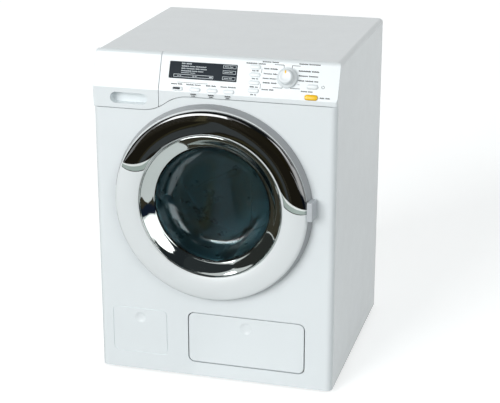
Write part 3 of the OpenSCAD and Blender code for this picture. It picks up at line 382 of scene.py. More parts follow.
@dataclass(frozen=True)
class SpangledSheet(Finish):
    """Zinc-plated sheet: a patchwork of faint crystals.

    Attributes:
        spangle_mm: width of a crystal.
        dullness: roughness of the brightest and of the dullest, as shares of the finish's.
    """

    spangle_mm: float = 3.0
    dullness: Point2 = (0.7, 1.4)
    metallic: float = 1.0
    ior: float = 1.5

    def rough_socket(self, tree: Tree, place: Socket) -> Socket:
        """Each crystal has its own dullness.

        Args:
            tree: the material's tree.
            place: coordinates in metres.

        Returns:
            A roughness.
        """
        cells = add_node(
            tree, "ShaderNodeTexVoronoi",
            {"Scale": 1 / (self.spangle_mm * MM), "Randomness": 1.0}, {"Vector": place},
        )
        grey = add_node(tree, "ShaderNodeRGBToBW", links={"Color": cells.outputs["Color"]})
        least, most = self.dullness
        return add_node(
            tree,
            "ShaderNodeMapRange",
            {"To Min": self.roughness * least, "To Max": self.roughness * most},
            {"Value": grey.outputs["Val"]},
        ).outputs["Result"]


@dataclass(frozen=True)
class BoardLaminate(Finish):
    """Circuit board: green mask with copper tracks showing through it.

    Attributes:
        track_mm: distance between the tracks that run across.
        track_share: width of a track as a share of twice that distance.
        track_colour: sRGB hex of the mask over a track.
    """

    track_mm: float = 2.2
    track_share: float = 0.03
    track_colour: str = "2f7a3a"

    def colour_socket(self, tree: Tree, place: Socket) -> Socket:
        """Mask colour, lighter over the tracks.

        Args:
            tree: the material's tree.
            place: coordinates in metres.

        Returns:
            A colour.
        """
        mask = linear(self.colour)
        return add_node(
            tree,
            "ShaderNodeTexBrick",
            {
                "Color1": mask,
                "Color2": mask,
                "Mortar": linear(self.track_colour),
                "Scale": 1 / (self.track_mm * MM * 2),
                "Mortar Size": self.track_share,
            },
            {"Vector": place},
        ).outputs["Color"]


# Injection-moulded ABS, polished tool: bright gloss with a trace of orange peel.
WHITE_ABS = Finish(
    "abs_white_polished", "white_plastic", "ecf2f4", 0.24, ior=1.53, mottle=0.012,
    grain_mm=3.0, grain_depth_mm=0.002, rub=0.12,
)
# The same, a shade greyer than the casing's white.
PEARL_ABS = replace(WHITE_ABS, name="abs_pearl_polished", colour="e5eaeb")
# The same ABS from a blasted tool, as on backs and insides: satin.
SATIN_ABS = Finish(
    "abs_white_satin", "satin_white_plastic", "e4e8e8", 0.45, ior=1.53, mottle=0.02,
    grain_mm=0.6, grain_depth_mm=0.012,
)
# ABS filled with aluminium flake: grey with a soft metallic cast.
SILVER_ABS = Finish(
    "abs_silver_grey", "silver_grey_plastic", "a2a5a8", 0.34, metallic=0.2, ior=1.53,
    mottle=0.02, grain_mm=0.35,
)
# ABS dyed light grey, polished tool: plain, a little softer in gloss.
GRIP_ABS = Finish(
    "abs_light_grey", "light_grey_plastic", "c3c8cc", 0.33, ior=1.53, mottle=0.015
)
# Vacuum-plated ABS: a mirror a little darker and wavier than real chrome.
BRIGHT_PLATE = Finish(
    "plated_abs_bright", "bright_chrome", "b9c0be", 0.045, metallic=1.0, ior=1.5,
    mottle=0.01, grain_mm=9.0, grain_depth_mm=0.012, rub=0.5,
)
# The same under a smoked top coat: it mirrors the room at half its light.
BLACK_PLATE = Finish(
    "plated_abs_black", "mirror_trim", "6f7070", 0.05, metallic=1.0, ior=1.5, mottle=0.04,
    grain_mm=12.0, grain_depth_mm=0.02, rub=0.4,
)
# The plating on a slope as a painted reflection of the pale room: pale and soft, with hardly a
# mirror left.
LIP_PAINTED_REFLECTION = Finish(
    "plated_abs_painted_reflection", "mirror_trim", "a9b7b1", 0.25, metallic=0.15, ior=1.5, mottle=0.02,
    grain_mm=3.0,
)
# A painted highlight along the fold between the two: a thin pale line.
LIP_PAINTED_HIGHLIGHT = Finish(
    "plated_abs_painted_highlight", "mirror_trim", "eef3f1", 0.2, metallic=0.1, ior=1.5, mottle=0.02,
    grain_mm=3.0,
)
# Clear polystyrene dyed smoke-blue: see-through, glossy and faintly wavy.
SMOKED_CLEAR = Finish(
    "polystyrene_smoked", "smoked_glass", "b4dce4", 0.06, ior=1.59, mottle=0.02,
    transmission=1.0, grain_mm=14.0, grain_depth_mm=0.01,
)
# Back-printed film: dark and even, nearly without gloss.
DISPLAY_FILM = Finish("printed_film_dark", "display", "2b3239", 0.5, ior=1.2, mottle=0.06)
# Screen ink on the film: flat and pale.
PRINT_PALE = Finish("screen_ink_pale", "display", "c9d2d6", 0.5, mottle=0.05, grain_mm=0.3)
# Screen ink on the panel: flat charcoal grey.
PRINT_DARK = Finish(
    "screen_ink_grey", "white_plastic", "23282c", 0.55, mottle=0.08, grain_mm=0.3
)
# ABS dyed yellow all through, polished tool: strong colour and bright gloss.
YELLOW_ABS = Finish(
    "abs_yellow_polished", "yellow_plastic", "fbc800", 0.25, ior=1.53, mottle=0.02
)
# Undyed polypropylene: milky white, waxy, with a fine moulded grain.
NATURAL_PP = Finish(
    "polypropylene_natural", "inner_plastic", "dcdedd", 0.42, grain_mm=0.8, grain_depth_mm=0.01
)
# The same from a frosted tool, thin: some light comes through.
FROSTED_PP = Finish(
    "polypropylene_frosted", "translucent_plastic", "dfe6ea", 0.4, grain_mm=0.8,
    transmission=0.35,
)
# The same dyed light blue.
BLUE_PP = Finish("polypropylene_light_blue", "softener_plastic", "8fbcd8", 0.38, grain_mm=0.8)
# Metallic grey ABS with flow lines, as toy drums are moulded.
DRUM_ABS = Finish(
    "abs_metallic_grey", "drum_plastic", "aab0b4", 0.3, metallic=0.55, ior=1.53, mottle=0.05,
    grain_mm=0.4,
)
# Undyed acetal: creamy white and smooth.
ACETAL = Finish(
    "acetal_natural", "gear_plastic", "e3e0d4", 0.36, ior=1.48, mottle=0.02, grain_mm=0.5
)
# Pressed bronze powder: brown and dull, with open pores.
SINTERED = Finish(
    "sintered_bronze", "bush_plastic", "b08d58", 0.5, metallic=0.8, mottle=0.12,
    grain_mm=0.3, grain_depth_mm=0.03,
)
# Black ABS from a blasted tool: satin, greyish where light grazes it.
DARK_ABS = Finish(
    "abs_black_satin", "dark_plastic", "232527", 0.42, mottle=0.06, grain_mm=0.5,
    grain_depth_mm=0.012,
)
# Moulded rubber: dark grey and matt, with a faint dusty bloom.
RUBBER = Finish(
    "rubber_grey_moulded", "rubber", "54575b", 0.62, ior=1.52, mottle=0.08, grain_mm=0.5,
    grain_depth_mm=0.02, sheen=0.15,
)
# Extruded PVC: grey, with half a gloss.
PVC_HOSE = Finish("pvc_hose_grey", "rubber", "6a6e73", 0.4, mottle=0.05, grain_mm=0.8)
# Zinc-plated steel: grey, with the tool's fine lines.
STEEL = TurnedMetal(
    "steel_zinc_plated", "steel", "b9bcc0", 0.28, mottle=0.06, grain_depth_mm=0.003
)
# The same on the drawn can of the motor.
MOTOR_CAN = replace(STEEL, slot="motor_can")
# Galvanised steel sheet: pale grey with faint crystals.
SHEET = SpangledSheet("steel_sheet_galvanised", "steel", "b4b8bb", 0.33, mottle=0.08)
# Turned brass: warm yellow, with the tool's fine lines.
BRASS = TurnedMetal(
    "brass_turned", "pinion_brass", "c9a050", 0.25, mottle=0.06, grain_depth_mm=0.003
)
# Laminate under a solder mask: glossy green, lighter over its tracks.
BOARD = BoardLaminate("laminate_green_mask", "board", "14502c", 0.35, coat=0.3)
# Shrink sleeve: blue print under a thin clear film.
CELL_WRAP = Finish(
    "shrink_sleeve_blue", "cell_wrap", "2c5a90", 0.3, ior=1.5, coat=0.4, mottle=0.05
)


# ---- mesh helpers


def linked(name: str, data: bpy.types.ID) -> Thing:
    """Put data into the scene as an object at the origin.

    Args:
        name: the object's name.
        data: its mesh, lamp or camera.

    Returns:
        The new object.
    """
    thing = bpy.data.objects.new(name, data)
    bpy.context.scene.collection.objects.link(thing)
    return thing


def mesh_object(name: str, shape: Shape) -> Thing:
    """Turn a bmesh into an object of the scene, at the origin.

    Args:
        name: the object's name.
        shape: the finished mesh; it is freed.

    Returns:
        The new object.
    """
    mesh = bpy.data.meshes.new(name)
    shape.to_mesh(mesh)
    shape.free()
    return linked(name, mesh)


def smooth(thing: Thing, angle: float = SMOOTH) -> Thing:
    """Shade a piece smooth.

    Args:
        thing: the piece.
        angle: edges where faces meet above this many degrees stay sharp.

    Returns:
        The same piece.
    """
    for polygon in thing.data.polygons:
        polygon.use_smooth = True
    thing.data.set_sharp_from_angle(angle=math.radians(angle))
    return thing


def soften(thing: Thing, width: float, steps: int = 2, keep_creases: bool = False) -> Thing:
    """Round the sharp edges of a piece.

    Args:
        thing: the piece.
        width: width of the rounding in millimetres.
        steps: faces across the rounding.
        keep_creases: whether blunt folds stay crisp.

    Returns:
        The same piece, with its modifiers.
    """
    edge = thing.modifiers.new("soft_edges", "BEVEL")
    edge.width = width * MM
    edge.segments = steps
    edge.limit_method = "ANGLE"
    edge.angle_limit = math.radians(BLUNT)
    level = thing.modifiers.new("even_shading", "WEIGHTED_NORMAL")
    level.keep_sharp = keep_creases
    return thing


def placed(thing: Thing, body: Body, slot: str, *nodes: str) -> None:
    """Hang a finished piece on its body, in place of the solids that it stands for.

    Args:
        thing: the piece.
        body: the body that it moves with.
        slot: the record's material slot.
        nodes: names of the solids that it replaces.
    """
    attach(thing, body.value)
    if nodes:
        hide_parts(*nodes)
    LOG.info("%s rides on %s, slot %s, for %s", thing.name, body.value, slot, nodes or "-")


def clad(thing: Thing, body: Body, nodes: Sequence[str], *finishes: Finish) -> None:
    """Give a bare piece its finishes and hang it on its body.

    Args:
        thing: the piece.
        body: the body that it moves with.
        nodes: names of the solids that it replaces.
        finishes: what it is made of, by material number; the first one gives the slot.
    """
    for finish in finishes:
        thing.data.materials.append(finish.material())
    placed(thing, body, finishes[0].slot, *nodes)


def from_solid(node: str, name: str, width: float = 0.25) -> Thing:
    """Copy a solid, merge its loose triangles and round its edges.

    Args:
        node: name of the solid.
        name: name of the new piece.
        width: width of the rounding in millimetres; 0 leaves the edges.

    Returns:
        The new piece.
    """
    shape = bmesh.new()
    shape.from_mesh(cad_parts[node].data)
    bmesh.ops.remove_doubles(shape, verts=shape.verts, dist=MERGE)
    bmesh.ops.dissolve_limit(
        shape, angle_limit=math.radians(FLAT), verts=shape.verts, edges=shape.edges,
        use_dissolve_boundaries=False,
    )
    for layer in list(shape.loops.layers.uv.values()):
        shape.loops.layers.uv.remove(layer)
    folded = node in LEANING
    thing = smooth(mesh_object(name, shape), CREASE if folded else SMOOTH)
    if width:
        soften(thing, width, keep_creases=folded)
    return thing


def dress(*rows: tuple[str, str, float, Finish, Body]) -> None:
    """Show solids as they are, with rounded edges and a finish.

    Args:
        rows: solid, name of the piece, width of the rounding in millimetres, finish and body
            of each.
    """
    for node, name, width, finish, body in rows:
        clad(from_solid(node, name, width), body, [node], finish)


def closed(name: str, shape: Shape, angle: float = SMOOTH) -> Thing:
    """Turn a closed bmesh into a smooth piece.

    Args:
        name: the piece's name.
        shape: the mesh; it is freed.
        angle: edges above this many degrees stay sharp.

    Returns:
        The new piece.
    """
    bmesh.ops.recalc_face_normals(shape, faces=shape.faces)
    return smooth(mesh_object(name, shape), angle)


def polar(radius: float, angle: float) -> Point2:
    """Across and up of a point on a circle, by its angle in radians."""
    return radius * math.cos(angle), radius * math.sin(angle)


def lathe(name: str, outline: Sequence[Point2], matrix: Matrix, steps: int = 240) -> Thing:
    """Turn a closed outline of (radius, height) about local z.

    Args:
        name: the piece's name.
        outline: corners in millimetres; points on the axis close the shape there.
        matrix: where local z and the origin lie, in metres.
        steps: faces round the axis.

    Returns:
        The new piece.
    """
    shape = bmesh.new()
    rings: list[list[bmesh.types.BMVert]] = []
    for radius, height in outline:
        if radius == 0:
            rings.append([shape.verts.new(UPRIGHT * (height * MM))] * steps)
            continue
        rings.append([
            shape.verts.new(Vector((*polar(radius, math.tau * k / steps), height)) * MM)
            for k in range(steps)
        ])
    for one, two in zip(rings, rings[1:] + rings[:1]):
        for k in range(steps):
            corners = [one[k], one[(k + 1) % steps], two[(k + 1) % steps], two[k]]
            unique = list(dict.fromkeys(corners))
            if len(unique) > 2:
                shape.faces.new(unique)
    bmesh.ops.recalc_face_normals(shape, faces=shape.faces)
    shape.transform(matrix)
    return smooth(mesh_object(name, shape))


def evenly(line: Sequence[Point2], count: int) -> list[Point2]:
    """Points at equal steps along a line.

    Args:
        line: the line's corners.
        count: number of steps.

    Returns:
        One point more than there are steps.
    """
    lengths = [0.0]
    for one, two in zip(line, line[1:]):
        lengths.append(lengths[-1] + math.dist(one, two))
    points, at = [], 0
    for k in range(count + 1):
        goal = lengths[-1] * k / count
        while at < len(line) - 2 and lengths[at + 1] < goal:
            at += 1
        part = (goal - lengths[at]) / max(lengths[at + 1] - lengths[at], 1e-9)
        (x, y), (p, q) = line[at], line[at + 1]
        points.append((x + (p - x) * part, y + (q - y) * part))
    return points


def sheet(shape: Shape, rows: Sequence[Sequence[Point3]], number: int) -> None:
    """Add a surface through rows of points.

    Args:
        shape: the mesh that gets it.
        rows: places in millimetres, as many in each row.
        number: index of its finish.
    """
    corners = [[shape.verts.new(Vector(point) * MM) for point in row] for row in rows]
    for one, two in zip(corners, corners[1:]):
        for k in range(len(one) - 1):
            face = shape.faces.new((one[k], one[k + 1], two[k + 1], two[k]))
            face.material_index = number


def thicken(shape: Shape, floor: float) -> None:
    """Close a surface to a solid with a flat underside.

    Args:
        shape: the surface, with local z upwards.
        floor: height of the underside in millimetres.
    """
    rim = [edge for edge in shape.edges if edge.is_boundary]
    known = shape.verts[:] + shape.edges[:] + shape.faces[:]
    twins = bmesh.ops.duplicate(shape, geom=known)["vert_map"]
    for item in known:
        if isinstance(item, bmesh.types.BMVert):
            twins[item].co.z = floor * MM
    for edge in rim:
        one, two = edge.verts
        wall = shape.faces.new((one, two, twins[two], twins[one]))
        wall.material_index = edge.link_faces[0].material_index
    bmesh.ops.recalc_face_normals(shape, faces=shape.faces)


def crisp(thing: Thing) -> Thing:
    """Make the edges sharp where one finish meets another.

    Args:
        thing: the piece, with a material number on every face.

    Returns:
        The same piece.
    """
    touching: dict[tuple[int, int], set[int]] = {}
    for polygon in thing.data.polygons:
        for key in polygon.edge_keys:
            touching.setdefault(key, set()).add(polygon.material_index)
    for edge in thing.data.edges:
        if len(touching[edge.key]) > 1:
            edge.use_edge_sharp = True
    return thing


def arcs(
    starts: Sequence[Point3], radius: float, sweep: float, steps: int
) -> list[Point2]:
    """Arcs of one radius, joined into an outline.

    Args:
        starts: across and up of each arc's centre, and its first angle in degrees.
        radius: their radius in millimetres.
        sweep: degrees that each goes round.
        steps: pieces of each.

    Returns:
        The outline.
    """
    points = []
    for across, up, start in starts:
        for k in range(steps + 1):
            x, y = polar(radius, math.radians(start + sweep * k / steps))
            points.append((across + x, up + y))
    return points


def pill(width: float, height: float, steps: int = 8) -> list[Point2]:
    """Outline of a slot shape with round ends, about its middle, in millimetres."""
    reach = (width - height) / 2
    return arcs(((reach, 0, -90), (-reach, 0, 90)), height / 2, 180, steps)


def rounded_box(width: float, height: float, radius: float, steps: int = 6) -> list[Point2]:
    """Outline of a rectangle with round corners, about its middle, in millimetres."""
    x, y = width / 2 - radius, height / 2 - radius
    return arcs(((x, -y, -90), (x, y, 0), (-x, y, 90), (-x, -y, 180)), radius, 90, steps)


def shrinking(
    kind: Callable[..., list[Point2]], width: float, height: float, *more: float
) -> Callable[[float], list[Point2]]:
    """An outline that gets smaller all round.

    Args:
        kind: what draws the outline.
        width: its full width.
        height: its full height.
        more: what else it takes.

    Returns:
        A function from an inset to the smaller outline.
    """
    return lambda inset: kind(width - 2 * inset, height - 2 * inset, *more)


@dataclass
class Stack:
    """Flat outlines joined into one closed skin, from the lowest to the highest."""

    layers: list[tuple[Sequence[Point2], float]] = field(default_factory=list)

    def add(self, outline: Sequence[Point2], height: float) -> "Stack":
        """Put an outline at a height in millimetres; all have as many points."""
        self.layers.append((outline, height))
        return self

    def build(self, shape: Shape, matrix: Matrix, number: int = 0) -> None:
        """Write the skin into a bmesh.

        Args:
            shape: the mesh that gets the skin.
            matrix: from local metres to the machine's frame.
            number: material number of its faces.
        """
        rings = [
            [shape.verts.new(matrix @ Vector((x * MM, y * MM, h * MM))) for x, y in outline]
            for outline, h in self.layers
        ]
        faces = [shape.faces.new(list(reversed(rings[0]))), shape.faces.new(rings[-1])]
        count = len(rings[0])
        for low, high in zip(rings, rings[1:]):
            for k in range(count):
                faces.append(shape.faces.new(
                    (low[k], low[(k + 1) % count], high[(k + 1) % count], high[k])
                ))
        for face in faces:
            face.material_index = number


def offset_stack(
    make: Callable[[float], list[Point2]], height: float, edge: float, base: float = 0.0,
    crown: float = 0.0,
) -> Stack:
    """A flat block whose top edge is rounded.

    Args:
        make: gives the outline, smaller all round by its argument.
        height: height of the block's top.
        edge: radius of the top edge.
        base: height of its bottom.
        crown: how much the middle of the top rises.

    Returns:
        The stack of outlines.
    """
    stack = Stack().add(make(0.0), base).add(make(0.0), height - edge)
    for angle in (30, 60, 90):
        inset = edge * (1 - math.cos(math.radians(angle)))
        rise = edge * math.sin(math.radians(angle))
        stack.add(make(inset), height - edge + rise)
    if crown:
        stack.add(make(edge + 1.2 * crown), height + 0.7 * crown)
        stack.add(make(edge + 3.0 * crown), height + crown)
    return stack


# ---- geometry nodes


class NodeRecipe:
    """A Geometry Nodes tree with named sizes, run once and turned into a plain mesh."""

    def __init__(self, name: str, sizes: dict[str, float], finish: Finish) -> None:
        """Start a tree that has the given float inputs.

        Args:
            name: the tree's name.
            sizes: default value of each named size, in millimetres or as a count.
            finish: what the result is made of.
        """
        self.tree = bpy.data.node_groups.new(name, "GeometryNodeTree")
        self.sizes = sizes
        self.finish = finish
        for side in ("INPUT", "OUTPUT"):
            self.tree.interface.new_socket(
                "Geometry", in_out=side, socket_type="NodeSocketGeometry"
            )
        for key in sizes:
            self.tree.interface.new_socket(key, in_out="INPUT", socket_type="NodeSocketFloat")
        self.inputs = add_node(self.tree, "NodeGroupInput").outputs

    def node(
        self, kind: str, settings: dict | None = None, links: dict | None = None
    ) -> bpy.types.Node:
        """Add a node to this tree."""
        return add_node(self.tree, kind, settings, links)

    def raised(self, geometry: Socket, height: Socket) -> Socket:
        """Move geometry up by a height in metres."""
        lift = self.node("ShaderNodeCombineXYZ", links={2: height})
        return self.node(
            "GeometryNodeTransform", links={"Geometry": geometry, "Translation": lift.outputs[0]}
        ).outputs["Geometry"]

    def metres(self, key: str, factor: float = 1.0) -> Socket:
        """A named size in metres, times a factor."""
        return self.node(
            "ShaderNodeMath", {"operation": "MULTIPLY", 1: MM * factor}, {0: self.inputs[key]}
        ).outputs[0]

    def close(self, geometry: Socket) -> None:
        """End the tree: real meshes, one material.

        Args:
            geometry: what the tree has made.
        """
        real = self.node("GeometryNodeRealizeInstances", links={"Geometry": geometry})
        dressed = self.node(
            "GeometryNodeSetMaterial",
            {"Material": self.finish.material()},
            {"Geometry": real.outputs["Geometry"]},
        )
        self.node("NodeGroupOutput", links={0: dressed.outputs["Geometry"]})

    def run(self, name: str, source: Thing, **sizes: float) -> Thing:
        """Apply the tree to a source object and keep the result as a plain mesh.

        Args:
            name: name of the result.
            source: the object whose geometry feeds the tree; it is removed.
            sizes: values that differ from the defaults, with _ for spaces.

        Returns:
            The new piece.
        """
        modifier = source.modifiers.new("recipe", "NODES")
        modifier.node_group = self.tree
        wanted = self.sizes | {key.replace("_", " "): value for key, value in sizes.items()}
        for item in self.tree.interface.items_tree:
            if item.in_out == "INPUT" and item.name in wanted:
                modifier[item.identifier] = float(wanted[item.name])
        graph = bpy.context.evaluated_depsgraph_get()
        graph.update()
        mesh = bpy.data.meshes.new_from_object(source.evaluated_get(graph))
        bpy.data.objects.remove(source)
        mesh.name = name
        return smooth(linked(name, mesh))


def seats(name: str, places: Iterable[Vector]) -> Thing:
    """Points that face the back, for a recipe to set things on.

    Args:
        name: name of the helper object.
        places: where they lie, in metres.

    Returns:
        A mesh of loose points with a vector attribute named facing.
    """
    mesh = bpy.data.meshes.new(name)
    mesh.from_pydata([tuple(place) for place in places], [], [])
    for item in mesh.attributes.new("facing", "FLOAT_VECTOR", "POINT").data:
        item.vector = BACKWARDS
    return linked(name, mesh)


def on_seats(recipe: NodeRecipe, instance: Socket) -> Socket:
    """Set one shape on every seat, its z along the seat's direction.

    Args:
        recipe: the tree.
        instance: the shape.

    Returns:
        The instances.
    """
    facing = recipe.node(
        "GeometryNodeInputNamedAttribute", {"data_type": "FLOAT_VECTOR", "Name": "facing"}
    )
    turn = recipe.node(
        "FunctionNodeAlignRotationToVector",
        {"axis": "Z"},
        {"Vector": facing.outputs["Attribute"]},
    )
    points = recipe.node(
        "GeometryNodeMeshToPoints", links={"Mesh": recipe.inputs["Geometry"]}
    )
    spread = recipe.node(
        "GeometryNodeInstanceOnPoints",
        links={
            "Points": points.outputs["Points"],
            "Instance": instance,
            "Rotation": turn.outputs["Rotation"],
        },
    )
    return spread.outputs["Instances"]


def screw_recipe() -> NodeRecipe:
    """Pan-head screws with a cross recess, one on each seat.

    Returns:
        The recipe, with the sizes of head, recess and shank.
    """
    recipe = NodeRecipe(
        "cross_head_screws",
        {"Head Radius": 3.0, "Head Height": 1.1, "Recess Width": 0.7, "Shank Radius": 1.38,
         "Shank Length": 14.0},
        STEEL,
    )
    head = recipe.node(
        "GeometryNodeMeshCone",
        {"Vertices": 40, "Side Segments": 1},
        {
            "Radius Bottom": recipe.metres("Head Radius"),
            "Radius Top": recipe.metres("Head Radius", 0.8),
            "Depth": recipe.metres("Head Height"),
        },
    )
    slots = []
    for long_axis in (0, 1):
        size = recipe.node("ShaderNodeCombineXYZ")
        recipe.tree.links.new(recipe.metres("Head Radius", 1.2), size.inputs[long_axis])
        recipe.tree.links.new(recipe.metres("Recess Width"), size.inputs[1 - long_axis])
        recipe.tree.links.new(recipe.metres("Head Height", 1.2), size.inputs[2])
        bar = recipe.node("GeometryNodeMeshCube", links={"Size": size.outputs[0]})
        slots.append(recipe.raised(bar.outputs["Mesh"], recipe.metres("Head Height", 0.95)))
    cut = recipe.node("GeometryNodeMeshBoolean", {"operation": "DIFFERENCE"})
    recipe.tree.links.new(head.outputs["Mesh"], cut.inputs["Mesh 1"])
    for slot in slots:
        recipe.tree.links.new(slot, cut.inputs["Mesh 2"])
    shank = recipe.node(
        "GeometryNodeMeshCylinder",
        {"Vertices": 24, "Side Segments": 1},
        {"Radius": recipe.metres("Shank Radius"), "Depth": recipe.metres("Shank Length")},
    )
    sunk = recipe.raised(shank.outputs["Mesh"], recipe.metres("Shank Length", -0.5))
    joined = recipe.node("GeometryNodeJoinGeometry")
    for part in (cut.outputs["Mesh"], sunk):
        recipe.tree.links.new(part, joined.inputs[0])
    recipe.close(on_seats(recipe, joined.outputs["Geometry"]))
    return recipe


SCREWS = screw_recipe()


def screwed(node: str, name: str, body: Body, places: Iterable[Vector], **sizes: float) -> None:
    """Set screws whose heads face the back.

    Args:
        node: the solid that they stand for.
        name: name of the piece.
        body: the body that they move with.
        places: where their heads sit, in metres.
        sizes: sizes that differ from the recipe's, with _ for spaces.
    """
    piece = SCREWS.run(name, seats(name + "_seats", places), **sizes)
    placed(piece, body, SCREWS.finish.slot, node)


# ---- casing


@dataclass
class Casing:
    """Shell, base, back and what holds them together."""

    screw_x: float = 86.7
    screw_z: tuple[float, float] = (17.5, 250.2)

    def build(self) -> None:
        """Make and dress every piece of the casing."""
        dress(
            ("cabinet", "casing_shell", 0.35, WHITE_ABS, Body.HOUSING),
            ("base_plate", "casing_floor", 0.3, SATIN_ABS, Body.HOUSING),
            ("rear_panel", "casing_back", 0.3, SATIN_ABS, Body.HOUSING),
            ("feet", "rubber_feet", 0.4, RUBBER, Body.HOUSING),
        )
        screwed("casing_screws", "back_screws", Body.HOUSING, [
            Vector((side * self.screw_x, LAYOUT.back_y, z)) * MM
            for side in (-1, 1)
            for z in self.screw_z
        ])


# ---- control panel


@dataclass
class Printing:
    """Marks on the leaning front, written into one mesh.

    Attributes:
        shape: the mesh that gets them.
        out: height in millimetres of what they are printed on.
        number: index of their finish.
        ink: thickness of a mark.
        line: width of a printed line.
        thin: half the width of a thin one.
    """

    shape: Shape
    out: float = 0.0
    number: int = 0
    ink: float = 0.04
    line: float = 0.4
    thin: float = 0.13

    def strip(self, box: Box, radius: float = 0.15) -> None:
        """Lay one mark.

        Args:
            box: left, right, lower and upper edge in panel millimetres.
            radius: radius of its corners.
        """
        left, right, low, high = box
        outline = rounded_box(right - left, high - low, min(radius, 0.45 * (high - low)), 2)
        matrix = LAYOUT.panel_matrix((left + right) / 2, (low + high) / 2, self.out)
        mark = Stack().add(outline, 0.0).add(outline, self.ink)
        mark.build(self.shape, matrix, self.number)

    def words(
        self, left: float, right: float, up: float, parts: Sequence[float] = (3, 2),
        height: float = 0.95,
    ) -> None:
        """A line of small letter-like marks that fills a width.

        Args:
            left: start of the line.
            right: end of the line.
            up: height of its middle on the slope.
            parts: relative lengths of the words.
            height: height of the print.
        """
        gap, letter, fill, short, tall = 0.75, 0.62, 0.8, 0.3, 0.55
        room = (right - left) - gap * height * (len(parts) - 1)
        at = left
        for part in parts:
            width = room * part / sum(parts)
            count = max(1, round(width / (letter * height)))
            pitch = width / count
            for k in range(count):
                rises = k == 0 or (k * k + 2 * k + count) % 3 == 0
                start, top = at + k * pitch, up + height * (tall if rises else short)
                self.strip((start, start + fill * pitch, up - height / 2, top), 0.1)
            at += width + gap * height

    def outlined(self, box: Box, width: float) -> None:
        """A thin rectangle.

        Args:
            box: left, right, lower and upper edge.
            width: width of its lines.
        """
        left, right, low, high = box
        for part in (
            (left, right, high - width, high),
            (left, right, low, low + width),
            (left, left + width, low + width, high - width),
            (right - width, right, low + width, high - width),
        ):
            self.strip(part, 0.02)

    def power_mark(self, across: float, up: float, radius: float) -> None:
        """A ring that is open at the top, with a short bar in the gap.

        Args:
            across: place across the panel.
            up: place up the slope.
            radius: radius of the ring.
        """
        line, opening = 0.32, 70
        first, sweep = math.radians(90 + opening / 2), math.radians(360 - opening)
        angles = [first + sweep * k / 16 for k in range(17)]
        arc = [polar(radius, angle) for angle in angles]
        arc += [polar(radius - line, angle) for angle in reversed(angles)]
        ring = Stack().add(arc, 0.0).add(arc, self.ink)
        ring.build(self.shape, LAYOUT.panel_matrix(across, up))
        self.strip((across - line / 2, across + line / 2, up + 0.3, up + radius + 0.2))


